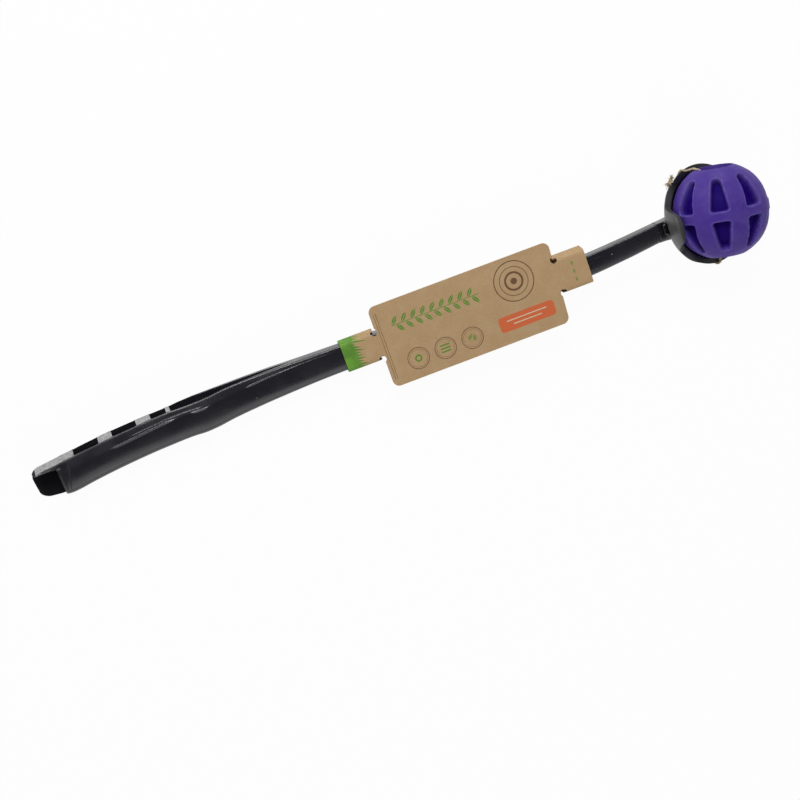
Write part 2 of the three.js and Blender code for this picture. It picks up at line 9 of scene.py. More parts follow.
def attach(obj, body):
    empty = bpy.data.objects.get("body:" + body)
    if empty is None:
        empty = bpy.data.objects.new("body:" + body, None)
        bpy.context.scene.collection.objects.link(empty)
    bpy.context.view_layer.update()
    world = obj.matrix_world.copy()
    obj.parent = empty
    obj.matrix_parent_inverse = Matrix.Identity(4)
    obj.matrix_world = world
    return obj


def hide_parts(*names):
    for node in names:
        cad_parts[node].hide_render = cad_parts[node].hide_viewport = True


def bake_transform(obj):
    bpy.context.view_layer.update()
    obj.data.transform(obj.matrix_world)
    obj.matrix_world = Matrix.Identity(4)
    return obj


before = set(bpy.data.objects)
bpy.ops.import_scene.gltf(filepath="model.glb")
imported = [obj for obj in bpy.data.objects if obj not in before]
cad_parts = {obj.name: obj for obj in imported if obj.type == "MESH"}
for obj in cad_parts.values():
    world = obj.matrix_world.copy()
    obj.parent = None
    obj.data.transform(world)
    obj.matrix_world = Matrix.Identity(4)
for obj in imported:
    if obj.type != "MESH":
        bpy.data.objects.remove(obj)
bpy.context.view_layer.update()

# The studio: a white paper floor that runs out of sight, a pale room that is darker overhead, and
# two soft boxes. The camera stands almost above the launcher, a little towards the grip's end and
# the side with the open pockets. Sizes are in millimetres until a mesh is made.
mm = 0.001
ball_place = Vector((225.631, 1.705, 37.2))
camera_distance = 1250
lean_to_grip = math.radians(8)
lean_to_pockets = math.radians(13)
camera_roll = math.radians(20.9)
picture_side = 800
pixel_size = 0.663
ball_in_picture = (720.7, 210.6)
sensor_width = 36
camera_reach = 60

towards_camera = Vector((-math.tan(lean_to_grip), math.tan(lean_to_pockets), 1)).normalized()
level = (Vector((1, 0, 0)) - towards_camera * towards_camera.x).normalized()
rise = towards_camera.cross(level)
picture_right = level * math.cos(camera_roll) - rise * math.sin(camera_roll)
picture_up = level * math.sin(camera_roll) + rise * math.cos(camera_roll)
across = (ball_in_picture[0] - picture_side / 2) * pixel_size
upwards = (picture_side / 2 - ball_in_picture[1]) * pixel_size
camera_place = ball_place + towards_camera * camera_distance
camera_place -= picture_right * across + picture_up * upwards

camera_data = bpy.data.cameras.new("camera")
camera_data.sensor_width = sensor_width
camera_data.lens = camera_distance / pixel_size / picture_side * sensor_width
camera_data.clip_end = camera_reach
camera = bpy.data.objects.new("camera", camera_data)
turn = Matrix((picture_right, picture_up, towards_camera)).transposed().to_4x4()
camera.matrix_world = Matrix.Translation(camera_place * mm) @ turn
bpy.context.collection.objects.link(camera)
bpy.context.scene.camera = camera
bpy.context.scene.view_settings.view_transform = "Standard"


def node(tree, kind, inputs=None, **settings):
    """Adds a shader node. An input is set from a plain value or linked from another node's socket."""
    made = tree.nodes.new("ShaderNode" + kind)
    for key, value in settings.items():
        setattr(made, key, value)
    for key, value in (inputs or {}).items():
        if isinstance(value, bpy.types.NodeSocket):
            tree.links.new(value, made.inputs[key])
        else:
            made.inputs[key].default_value = value
    return made


def maths(tree, operation, a, b=0.0, clamp=False):
    return node(tree, "Math", {0: a, 1: b}, operation=operation, use_clamp=clamp).outputs[0]


def times(tree, a, b):
    return maths(tree, "MULTIPLY", a, b)


def ramped(tree, value, low, high, out_low=0.0, out_high=1.0):
    """A value carried smoothly from one span to another, each given as its low and its high end."""
    inputs = {"Value": value, "From Min": low, "From Max": high, "To Min": out_low, "To Max": out_high}
    return node(tree, "MapRange", inputs, interpolation_type="SMOOTHSTEP").outputs[0]


def mixed(tree, share, a, b):
    return node(tree, "Mix", {0: share, 6: a, 7: b}, data_type="RGBA").outputs[2]


def parts_of(tree, vector):
    return node(tree, "SeparateXYZ", {0: vector}).outputs


def new_material(name):
    material = bpy.data.materials.new(name)
    material.use_nodes = True
    material.node_tree.nodes.clear()
    return material, material.node_tree


floor_reach = 8
floor_mesh = bpy.data.meshes.new("paper_floor")
corners = [(x * floor_reach, y * floor_reach) for x, y in ((-1, -1), (1, -1), (1, 1), (-1, 1))]
floor_mesh.from_pydata([(x, y, 0) for x, y in corners], [], [(0, 1, 2, 3)])
floor = bpy.data.objects.new("paper_floor", floor_mesh)
bpy.context.collection.objects.link(floor)

sheet_white = 0.86
floor_glow = 0.96
paper, tree = new_material("white_paper")
path = node(tree, "LightPath")
seen = maths(tree, "MAXIMUM", path.outputs["Is Camera Ray"], path.outputs["Is Glossy Ray"])
seen = maths(tree, "MAXIMUM", seen, path.outputs["Is Transmission Ray"])
sheet_colour = (sheet_white, sheet_white, sheet_white, 1)
sheet = node(tree, "BsdfPrincipled", {"Base Color": sheet_colour, "Roughness": 0.9})
glow = node(tree, "Emission", {"Color": (1, 1, 1, 1), "Strength": 1.0})
share = times(tree, seen, floor_glow)
blend = node(tree, "MixShader", {0: share, 1: sheet.outputs[0], 2: glow.outputs[0]})
node(tree, "OutputMaterial", {"Surface": blend.outputs[0]})
floor_mesh.materials.append(paper)

room_at_horizon = 1.0
room_overhead = 0.11
horizon_height, overhead_height = 0.05, 0.8
world = bpy.data.worlds.new("pale_room")
bpy.context.scene.world = world
world.use_nodes = True
world.node_tree.nodes.clear()
tree = world.node_tree
direction = node(tree, "TexCoord").outputs["Generated"]
height = parts_of(tree, direction)["Z"]
room_light = ramped(tree, height, horizon_height, overhead_height, room_at_horizon, room_overhead)
room = node(tree, "Background", {"Color": (1, 1, 1, 1), "Strength": room_light})
node(tree, "OutputWorld", {"Surface": room.outputs[0]})

# Each soft box: its name, place and width in metres, and power. Both look at the launcher.
soft_boxes = [
    ("soft_box_pockets", (0.0, 1.15, 1.2), 0.6, 17.5),
    ("soft_box_front", (-0.2, -1.5, 0.9), 1.3, 7.5),
]
for name, place, width, power in soft_boxes:
    data = bpy.data.lights.new(name, "AREA")
    data.shape, data.size, data.energy = "SQUARE", width, power
    lamp = bpy.data.objects.new(name, data)
    lamp.location = place
    lamp.rotation_euler = (-Vector(place)).to_track_quat("-Z", "Y").to_euler()
    bpy.context.collection.objects.link(lamp)


# The arm: grip and shaft in one black moulding, glossy off the tool and rubbed along its edges,
# which are painted paler as wear and as a painted highlight. The grip is cored from alternate
# sides, and its front slants down to a beaded ledge on the pocket side and rolls down short of the
# tip. A tongue with a latch block at the neck goes into the cup head.
origin = Vector((ball_place.x, ball_place.y, 0))
seam_x = -44.2
arm_length, tip_longer = 439.0, 1.2
tip_x = seam_x - arm_length - tip_longer
neck_width, neck_depth, neck_front = 13.6, 11.0, 34.5
grip_width, grip_depth = 24.0, 16.5
side_sweep = 15.0
tip_rise, tip_round = 1.0, 6.5
back_round = 2.0

# Each row: place along the arm from the neck to the tip, sideways sweep, width and depth between
# neck and grip, height of the front between grip and neck, all as shares, then the ledge's distance
# from the pocket side, and how far the front edge is drawn in on that side.
arm_rows = np.array([
    [0, 0.04, 0, 0, 1, 2.2, 0.3],
    [0.06, 0.23, 0.061, 0.03, 0.8996, 2.3, 0.3],
    [0.128, 0.37, 0.122, 0.07, 0.7859, 2.4, 0.3],
    [0.287, 0.43, 0.246, 0.18, 0.5199, 2.5, 0.25],
    [0.469, 0.49, 0.38, 0.29, 0.2154, 2.6, 0.2],
    [0.549, 0.51, 0.48, 0.4, 0.0816, 2.6, 0.2],
    [0.617, 0.537, 0.668, 0.65, 0.033, 4.0, 0.3],
    [0.686, 0.615, 0.883, 0.88, 0.008, 6.3, 0.8],
    [0.722, 0.688, 1.064, 0.97, 0.002, 8.2, 2.1],
    [0.735, 0.7, 1.089, 1, 0, 8.5, 2.3],
    [0.755, 0.697, 1.007, 1, 0, 7.6, 2.0],
    [0.785, 0.727, 0.947, 1, 0, 7.0, 1.0],
    [0.811, 0.753, 0.956, 1, 0, 7.6, 1.2],
    [0.868, 0.853, 1.006, 1, 0, 8.7, 1.8],
    [0.913, 0.983, 1.036, 1, 0, 9.0, 1.9],
    [0.945, 1.1, 1.065, 1, 0, 9.0, 1.9],
    [0.97, 1.143, 0.925, 1, 0, 8.2, 1.8],
    [1, 1.15, 0.667, 0.98, 0, 6.6, 1.6],
])
front_crown = 1.0
ledge_least, ledge_most, ledge_growth = 0.18, 1.6, 1.3

# Low beads on the front, by place along the arm: one along the ledge's fold, one on the ledge.
fold_bead = np.array([
    [0, 0], [0.48, 0], [0.53, 0.06], [0.6, 0.16], [0.622, 0.44], [0.648, 0.42], [0.664, 0.02],
    [0.722, 0], [0.73, 0.46], [0.741, 0.52], [0.749, 0.02], [0.775, 0.08], [0.788, 0.44],
    [0.83, 0.5], [0.866, 0.4], [0.882, 0], [1, 0],
])
ledge_bead = np.array([
    [0, 0], [0.733, 0], [0.742, 0.28], [0.76, 0.3], [0.8, 0.32], [0.832, 0.26], [0.846, 0], [1, 0],
])


def smooth_through(places, values, at):
    """A smooth curve through values that doesn't overshoot between them."""
    gaps = np.diff(places)
    rises = np.diff(values) / gaps
    slopes = np.zeros(len(values))
    slopes[0], slopes[-1] = rises[0], rises[-1]
    for i in range(1, len(values) - 1):
        before, after = rises[i - 1], rises[i]
        if before * after > 0:
            near, far = 2 * gaps[i] + gaps[i - 1], gaps[i] + 2 * gaps[i - 1]
            slopes[i] = (near + far) / (near / before + far / after)
    i = int(np.clip(np.searchsorted(places, at) - 1, 0, len(gaps) - 1))
    t = (at - places[i]) / gaps[i]
    low, high = values[i], values[i + 1]
    bend = (2 * t**3 - 3 * t**2 + 1) * low + (3 * t**2 - 2 * t**3) * high
    return bend + gaps[i] * ((t**3 - 2 * t**2 + t) * slopes[i] + (t**3 - t**2) * slopes[i + 1])


def arm_share(x, column):
    return smooth_through(arm_rows[:, 0], arm_rows[:, column], (seam_x - x) / arm_length)


def arm_side(x):
    return -side_sweep * arm_share(x, 1)


def arm_width(x):
    return neck_width + (grip_width - neck_width) * arm_share(x, 2)


def arm_depth(x):
    return neck_depth + (grip_depth - neck_depth) * arm_share(x, 3)


def arm_front(x):
    return grip_depth + (neck_front - grip_depth) * arm_share(x, 4)


def arm_back(x):
    return arm_front(x) - arm_depth(x)


def ledge_drop(x):
    """How far the ledge's rim lies under the front."""
    return max(ledge_least, ledge_most * float(np.clip(arm_share(x, 3), 0, 1)) ** ledge_growth)


def arc(centre, radius, start, end, steps):
    """Points of a circle's arc, angles in degrees."""
    angles = np.radians(np.linspace(start, end, steps + 1))
    return [(centre[0] + radius * math.cos(a), centre[1] + radius * math.sin(a)) for a in angles]


def eased(before, corner, after, steps):
    """A corner rounded by a curve from one point to another."""
    ts = np.linspace(0, 1, steps + 1)
    before, corner, after = (np.array(p, float) for p in (before, corner, after))
    return [tuple(before * (1 - t) ** 2 + corner * 2 * t * (1 - t) + after * t * t) for t in ts]


# The recess at the end of the front wall: it is longer next to the pocket side's wall, and rolls
# down towards the open end.
front_cut, side_wall = 17.7, 2.7
recess_near, recess_far, recess_round = 8.6, 3.6, 2.8
recess_step, step_run, roll_drop = 0.5, 0.4, 1.5
recess_end = tip_x + front_cut
recess_high = arm_side(recess_end) + arm_width(recess_end) / 2 - arm_share(recess_end, 6) - side_wall
recess_low = arm_side(recess_end) - arm_width(recess_end) / 2


def front_fall(x, y):
    """How far the recess lies under the front, at a place on the arm."""
    if y > recess_high:
        return 0.0
    reach = recess_far + (recess_near - recess_far) * (y - recess_low) / (recess_high - recess_low)
    short = y - (recess_high - recess_round)
    if short > 0:
        reach -= recess_round - math.sqrt(max(recess_round**2 - short * short, 0))
    inside = recess_end + reach - x
    if inside <= 0:
        return 0.0
    step = min(1, inside / step_run)
    rolled = min(1, inside / reach)
    return recess_step * step * step * (3 - 2 * step) + roll_drop * rolled**3


# Where the beads lie across the ledge and how wide they are, as shares of the ledge's width. The
# front turns down on the far side over a share of the width and of the depth.
bead_place, bead_spread, fold_spread, bead_slim = 0.72, 0.1, 0.16, 0.42
rim_out, rim_soft, fold_soft = 0.05, 0.8, 0.3
far_turn_across, far_turn_down = 0.31, 0.33


def arm_section(x, inset=0.0, lift=0.0, far_inset=0.0):
    """The arm's outline across its length: a flat back, a drafted side with a slanting ledge at its
    front, a crowned front and a large round on the far side."""
    half, far_half = arm_width(x) / 2 - inset, arm_width(x) / 2 - far_inset
    back, front, drop = arm_back(x) + lift, arm_front(x), ledge_drop(x)
    outline = arc((-far_half + back_round, back + back_round), back_round, 180, 270, 5)
    outline += arc((half - back_round, back + back_round), back_round, 270, 360, 5)
    below_rim = len(outline)
    rim_y, rim_z = half - arm_share(x, 6), front - drop
    ledge = arm_share(x, 5) - arm_share(x, 6)
    slope, fold = drop / ledge, rim_y - ledge
    rim_start = (rim_y + rim_out, rim_z - rim_soft)
    outline += eased(rim_start, (rim_y, rim_z), (rim_y - rim_soft, rim_z + rim_soft * slope), 3)
    bead_y, bead_wide, fold_wide = rim_y - bead_place * ledge, bead_spread * ledge, fold_spread * ledge
    turn_wide = 2 * far_turn_across * far_half
    end = turn_wide - far_half
    across = [
        *np.linspace(rim_y - rim_soft, bead_y + bead_wide, 3)[1:-1],
        *np.linspace(bead_y + bead_wide, bead_y - bead_wide, 9),
        *np.linspace(fold + fold_wide, fold - fold_wide, 13),
        *np.linspace(fold - fold_wide, end, 12)[1:],
    ]
    span = max(fold - end, 1)
    place = (seam_x - x) / arm_length
    bead_high = smooth_through(ledge_bead[:, 0], ledge_bead[:, 1], place)
    fold_high = smooth_through(fold_bead[:, 0], fold_bead[:, 1], place)
    for y in across:
        off = y - fold
        z = front - slope * 0.5 * (off + math.sqrt(off * off + fold_soft))
        z -= front_crown * max(-off / span, 0) ** 2
        z += bead_high * math.exp(-((y - bead_y) / (bead_slim * bead_wide)) ** 2)
        z += fold_high * math.exp(-(off / (bead_slim * fold_wide)) ** 2)
        outline.append((y, z))
    corner_z = outline[-1][1] - 2 * front_crown / span * turn_wide
    side_end = (-far_half, corner_z - far_turn_down * arm_depth(x))
    outline += eased((end, outline[-1][1]), (-far_half, corner_z), side_end, 16)[1:]
    side = arm_side(x)
    falls = [front_fall(x, side + y) if i > below_rim else 0 for i, (y, _) in enumerate(outline)]
    return [(x, side + y, z - fall) for (y, z), fall in zip(outline, falls)]


def skin_faces(count, rings, start=0):
    """The faces of a closed skin over rings of equal count."""
    faces = []
    for r in range(rings - 1):
        for i in range(count):
            a, b = start + r * count + i, start + r * count + (i + 1) % count
            faces.append((a, b, b + count, a + count))
    last = start + (rings - 1) * count
    return faces + [tuple(range(start, start + count))[::-1], tuple(range(last, last + count))]


def loft(name, rings):
    return solid(name, [p for ring in rings for p in ring], skin_faces(len(rings[0]), len(rings)))


def solid(name, points, faces):
    """An object from points in millimetres, measured from the point under the ball's centre."""
    mesh = bpy.data.meshes.new(name)
    mesh.from_pydata([(Vector(p) + origin) * mm for p in points], [], faces)
    mesh.update()
    made = bpy.data.objects.new(name, mesh)
    bpy.context.collection.objects.link(made)
    return made


def prism(name, outline, low, high, place):
    """An outline drawn out between two depths. place turns (a, b, depth) into a point."""
    return loft(name, [[place(a, b, depth) for a, b in outline] for depth in (low, high)])


def rounded(low, high, radius, steps=4):
    """A rectangle's outline with rounded corners."""
    (x0, y0), (x1, y1), r = low, high, radius
    points = arc((x1 - r, y0 + r), r, 270, 360, steps) + arc((x1 - r, y1 - r), r, 0, 90, steps)
    return points + arc((x0 + r, y1 - r), r, 90, 180, steps) + arc((x0 + r, y0 + r), r, 180, 270, steps)


def facing_out(made):
    """Turns a closed mesh's faces so that they look out of it."""
    mesh = made.data
    mesh.calc_loop_triangles()
    volume = 0
    for triangle in mesh.loop_triangles:
        a, b, c = (mesh.vertices[i].co for i in triangle.vertices)
        volume += a.cross(b).dot(c)
    if volume < 0:
        mesh.flip_normals()
    return made


def worked(body, steps):
    """Joins, cuts or trims a body with others, in order, and leaves one plain mesh."""
    facing_out(body)
    for tool, operation in steps:
        facing_out(tool)
        step = body.modifiers.new(tool.name, "BOOLEAN")
        step.object, step.operation, step.solver = tool, operation, "MANIFOLD"
    bpy.context.view_layer.update()
    shown = body.evaluated_get(bpy.context.evaluated_depsgraph_get())
    mesh = bpy.data.meshes.new_from_object(shown)
    mesh.materials.clear()
    body.modifiers.clear()
    body.data = mesh
    for tool, operation in steps:
        bpy.data.objects.remove(tool)
    return body


def shaded(made, crease):
    """Smooth shading that breaks at edges sharper than an angle in degrees."""
    made.data.shade_smooth()
    made.data.set_sharp_from_angle(angle=math.radians(crease))
    level_off = made.modifiers.new("level_normals", "WEIGHTED_NORMAL")
    level_off.keep_sharp = True
    return made


# The arm's rings lie close together at the tip and round the recess, and wider apart along the rest.
# The tip is rounded in plan, and slants back on the side without pockets.
tip_steps, tip_draw, far_round = 8, 0.9, 3.6
tip_slant, slant_reach = 0.13, 26.0
fine_step, coarse_step, fine_reach, shaft_rings = 0.4, 1.6, 10, 190


def slanted(ring):
    x = ring[0][0]
    lean = tip_slant * max(0, 1 - (x - tip_x) / slant_reach)
    outer_y = arm_side(x) + arm_width(x) / 2
    return [(a + lean * (outer_y - b), b, c) for a, b, c in ring]


stations = []
for i in range(tip_steps + 1):
    angle = math.pi / 2 * i / tip_steps
    draw = tip_draw * (1 - math.sin(angle))
    x = tip_x + tip_round * (1 - math.cos(angle))
    stations.append(arm_section(x, tip_round * draw, tip_rise * (1 - i / tip_steps), far_round * draw))
places = [
    *np.arange(tip_x + tip_round + coarse_step / 2, recess_end - 0.5, coarse_step),
    *np.arange(recess_end, recess_end + fine_reach, fine_step),
    *np.linspace(recess_end + fine_reach + fine_step, seam_x, shaft_rings),
]
stations += [arm_section(x) for x in places]
arm = loft("arm_moulding", [slanted(ring) for ring in stations])

front_wall, back_wall, web_wall, lip_wall = 2.9, 1.6, 2.4, 0.3
mouth_back_wall, far_ceiling, far_wall = 0.8, 8.6, 7.6
near_draft, near_mouth, far_draft = 4.0, 1.5, 2.0
pocket_round = 1.1
past = 3.0


def along_y(a, b, depth):
    return (a, depth, b)


def along_z(a, b, depth):
    return (a, b, depth)


def pocket(start, end, open_side):
    """A cutter for one pocket, which widens towards its opening on one side of the grip."""
    middle = (start + end) / 2
    half, side = arm_width(middle) / 2, arm_side(middle)
    back, front = arm_back(middle), arm_front(middle)
    if open_side > 0:
        ceiling, top = front - front_wall, front - ledge_drop(middle) - lip_wall
        depths = [side - half + far_wall, side + half - near_draft, side + half - near_mouth]
    else:
        ceiling = top = far_ceiling
        depths = [side + half - side_wall, side - half + far_draft, side - half]
    depths.append(side + open_side * (half + past))
    inner = rounded((start, back + back_wall), (end, ceiling), pocket_round)
    outer = rounded((start, back + mouth_back_wall), (end, top), pocket_round)
    rings = zip(depths, (inner, inner, outer, outer))
    return loft("pocket", [[(a, depth, b) for a, b in outline] for depth, outline in rings])


lengths = [31.4, 17.5, 9.7, 16.9, 10.0, 10.8, 2.9, 86.0]
end_land, pocket_1, land_1, pocket_2, land_2, pocket_3, land_3, long_end = tip_x + np.cumsum(lengths)
cuts = [
    pocket(end_land, pocket_1, 1),
    pocket(pocket_1 + web_wall, land_1 - web_wall, -1),
    pocket(land_1, pocket_2, 1),
    pocket(pocket_2 + web_wall, land_2 - web_wall, -1),
    pocket(land_2, pocket_3, 1),
]

# The long pocket follows the far wall in plan and closes to an edge towards the shaft.
closing, edge_half = 3.6, 0.3
plan = [(x, arm_side(x) + grip_width) for x in (long_end, land_3)]
for x in np.linspace(land_3, long_end, 13):
    plan.append((x, arm_side(x) - arm_width(x) / 2 + far_wall))
close_z = (arm_back(long_end) + arm_front(long_end)) / 2
wedge = [(land_3, arm_back(land_3) + mouth_back_wall), (long_end, close_z - edge_half)]
for x in np.linspace(long_end, land_3, 12):
    shut = min(1, (x - land_3) / (long_end - land_3)) ** closing
    top = arm_front(x) - ledge_drop(x) - lip_wall
    wedge.append((x, top + (close_z + edge_half - top) * shut))
long_pocket = prism("long_pocket", plan, -past, neck_front, along_z)
wedge_body = prism("wedge", wedge, -3 * grip_width, 3 * grip_width, along_y)
cuts.append(worked(long_pocket, [(wedge_body, "INTERSECT")]))

# The end cavity is open at the tip and to the far side, and its ceiling follows the front wall.
cavity_back_wall, ceiling_near, ceiling_far = 1.1, 9, 3
mouth_slant = 0.3 * tip_slant
inner, far = recess_high, recess_low - grip_width
floor_z, ceiling = arm_back(recess_end) + cavity_back_wall, grip_depth - front_wall
section = [(inner, floor_z), (inner, ceiling), (recess_low + ceiling_near, ceiling)]
section += [(recess_low + ceiling_far, far_ceiling), (far, far_ceiling), (far, floor_z)]


def along_x(a, b, depth):
    return (depth, a, b)


cuts.append(prism("end_cavity", section, tip_x - past, end_land - web_wall, along_x))
mouth = [(tip_x - past, floor_z), (recess_end, floor_z), (recess_end, grip_depth + past)]
mouth.append((tip_x - past, grip_depth + past))
rings = []
for depth in (far, inner):
    drawn_back = mouth_slant * (inner - depth)
    rings.append([(a + (drawn_back if a > tip_x else 0), depth, b) for a, b in mouth])
cuts.append(loft("end_mouth", rings))

# The tongue and the latch block at the neck, which also cut their own room in the cup head.
neck_y = arm_side(seam_x)
neck_z = neck_front - neck_depth / 2
tongue_length, tongue_width, tongue_depth, tongue_round = 10.0, 8.6, 6.4, 0.5
latch_length, latch_width, latch_round, latch_stand, latch_soft = 6.6, 7.6, 1.5, 2.6, 0.9
fit_gap, latch_gap, latch_aside = 0.3, 0.2, 1.5
latch_end = seam_x + tongue_length - fit_gap
latch_y = neck_y + latch_aside


def tongue(margin, length):
    low = (neck_y - tongue_width / 2 - margin, neck_z - tongue_depth / 2 - margin)
    high = (neck_y + tongue_width / 2 + margin, neck_z + tongue_depth / 2 + margin)
    outline = rounded(low, high, tongue_round, 2)
    return prism("tongue", outline, seam_x - past, seam_x + length, along_x)


def latch(margin, top, soft):
    """The latch block's column, its top edge drawn in by a small round."""
    low = (latch_end - latch_length - margin, latch_y - latch_width / 2 - margin)
    high = (latch_end + margin, latch_y + latch_width / 2 + margin)
    heights = [(neck_z, 0), (top - soft, 0)]
    for angle in np.radians([30, 60, 90] if soft else []):
        heights.append((top - soft + soft * math.sin(angle), soft * (1 - math.cos(angle))))
    rings = []
    for z, inset in heights:
        outline = rounded((low[0] + inset, low[1] + inset), (high[0] - inset, high[1] - inset), latch_round)
        rings.append([(a, b, z) for a, b in outline])
    return loft("latch", rings)


steps = [(cut, "DIFFERENCE") for cut in cuts]
steps.append((tongue(0, tongue_length), "UNION"))
steps.append((latch(0, neck_front + latch_stand, latch_soft), "UNION"))
worked(arm, steps)
shaded(arm, crease=32)


# The walls of the pockets lie under the skin, between the back and the front wall, and no face
# there looks up except the pockets' floors. These walls take a near-black material: painted shade.
core_skin, core_back, core_front, core_floor, core_tip_gap = 0.45, 0.3, 2.0, 3.0, 1.0
looks_up = 0.2


def inside_core(point, normal):
    """Whether a place on the arm is a wall of its pockets."""
    x, y, z = point / mm - origin
    back, front = arm_back(x), arm_front(x)
    if not tip_x + core_tip_gap <= x <= long_end:
        return False
    if normal.z > looks_up and z > back + core_floor:
        return False
    share = (z - back) / (front - ledge_drop(x) - back)
    near = arm_width(x) / 2 - arm_share(x, 6) * share - (y - arm_side(x))
    far_off = (y - arm_side(x)) + arm_width(x) / 2
    return near > core_skin and far_off > core_skin and back + core_back < z < front - core_front


for face in arm.data.polygons:
    face.material_index = 1 if inside_core(face.center, face.normal) else 0


def new_group(name, inputs, outputs):
    """A shader node group. Inputs have a default, and outputs are plain values unless named."""
    group = bpy.data.node_groups.new(name, "ShaderNodeTree")
    for label, default in inputs.items():
        kind = "NodeSocketVector" if isinstance(default, tuple) else "NodeSocketFloat"
        group.interface.new_socket(label, in_out="INPUT", socket_type=kind).default_value = default
    for label, kind in outputs.items():
        group.interface.new_socket(label, in_out="OUTPUT", socket_type="NodeSocket" + kind)
    entry = group.nodes.new("NodeGroupInput")
    leave = group.nodes.new("NodeGroupOutput")
    return group, entry.outputs, leave.inputs


def placed(tree, group, inputs):
    return node(tree, "Group", inputs, node_tree=group).outputs


def noise(tree, place, scale, detail, roughness=0.5, **settings):
    """Noise over a place. One-dimensional noise takes its place as a plain value."""
    label = "W" if settings.get("noise_dimensions") == "1D" else "Vector"
    inputs = {label: place, "Scale": scale, "Detail": detail, "Roughness": roughness}
    return node(tree, "TexNoise", inputs, **settings).outputs


# Fine grain: the skin that a mould or a mill leaves, as a height, and a broad mottling over it.
# Places come in metres or in millimetres, and sizes in thousandths of them.
per_unit = 1000.0
grain_inputs = {"Place": (0, 0, 0), "Size": 1.0, "Mottle Size": 20.0}
tree, given, out = new_group("surface_grain", grain_inputs, {"Height": "Float", "Mottle": "Float"})
grain_group = tree
fine = maths(tree, "DIVIDE", per_unit, given["Size"])
broad = maths(tree, "DIVIDE", per_unit, given["Mottle Size"])
skin = noise(tree, given["Place"], fine, detail=3.0, roughness=0.6)[0]
mottle = noise(tree, given["Place"], broad, detail=4.0, roughness=0.62)[0]
tree.links.new(skin, out["Height"])
tree.links.new(ramped(tree, mottle, 0.3, 0.7), out["Mottle"])

# Edge rub and painted highlight: a mask along outer edges, broken up by noise, that paints them paler
# as rubbed wear and as a painted highlight, and a normal that rounds them.
edge_inputs = {"Place": (0, 0, 0), "Radius": 0.0005, "Break Size": 2.5}
tree, given, out = new_group("edge_rub_and_highlight", edge_inputs, {"Mask": "Float", "Normal": "Vector"})
edge_group = tree
soft_normal = node(tree, "Bevel", {"Radius": given["Radius"]}, samples=4).outputs[0]
true_normal = node(tree, "NewGeometry").outputs["Normal"]
turned = node(tree, "VectorMath", {0: soft_normal, 1: true_normal}, operation="DOT_PRODUCT")
edge = ramped(tree, turned.outputs["Value"], 0.99, 0.9)
scale = maths(tree, "DIVIDE", per_unit, given["Break Size"])
broken = ramped(tree, noise(tree, given["Place"], scale, detail=3.0)[0], 0.35, 0.6)
tree.links.new(times(tree, edge, broken), out["Mask"])
tree.links.new(soft_normal, out["Normal"])

# Dust: sparse pale specks of uneven size that lie on the surface.
dust_inputs = {"Place": (0, 0, 0), "Spacing": 6.0, "Size": 0.3, "Share": 0.4}
tree, given, out = new_group("dust_specks", dust_inputs, {"Mask": "Float"})
dust_group = tree
scale = maths(tree, "DIVIDE", per_unit, given["Spacing"])
cells = node(tree, "TexVoronoi", {"Vector": given["Place"], "Scale": scale})
lot = node(tree, "SeparateColor", {0: cells.outputs["Color"]}).outputs
reach = maths(tree, "DIVIDE", given["Size"], given["Spacing"])
reach = times(tree, reach, maths(tree, "ADD", lot[1], 0.35))
speck = ramped(tree, maths(tree, "DIVIDE", cells.outputs["Distance"], reach), 1.0, 0.4)
kept = maths(tree, "LESS_THAN", lot[0], given["Share"])
tree.links.new(times(tree, speck, kept), out["Mask"])

plastic_black = (0.0105, 0.0107, 0.0155, 1)
# Paler grey for rubbed edges and scratches: wear, and a painted highlight on the edges.
plastic_rubbed_and_lit = (0.12, 0.12, 0.13, 1)
dust_colour = (0.42, 0.41, 0.38, 1)
# Pale flecked greys for the lands: painted reflection of the white floor.
land_reflection_dark = (0.12, 0.12, 0.125, 1)
land_reflection_pale = (0.33, 0.33, 0.335, 1)
land_reflection_bright = (0.5, 0.5, 0.5, 1)
# Near-black for the pockets' walls, a little less dark towards the open tip: painted shade.
pocket_shade_black = (0.0018, 0.0015, 0.004, 1)
pocket_shade_mottle = (0.006, 0.0055, 0.008, 1)
pocket_shade_tip = (0.014, 0.0135, 0.017, 1)


def surfaced(tree, look, height, strength, depth, normal=None):
    """Ends a material: the skin's relief from a height, and the surface with its colour and gloss."""
    relief = {"Strength": strength, "Distance": depth * mm, "Height": height}
    if normal is not None:
        relief["Normal"] = normal
    inputs = {**look, "Normal": node(tree, "Bump", relief).outputs[0]}
    node(tree, "OutputMaterial", {"Surface": node(tree, "BsdfPrincipled", inputs).outputs[0]})


def along_arm(tree, place, start, end):
    """A mask that rises along the arm, between two places measured from under the ball."""
    return ramped(tree, parts_of(tree, place)["X"], (origin.x + start) * mm, (origin.x + end) * mm)


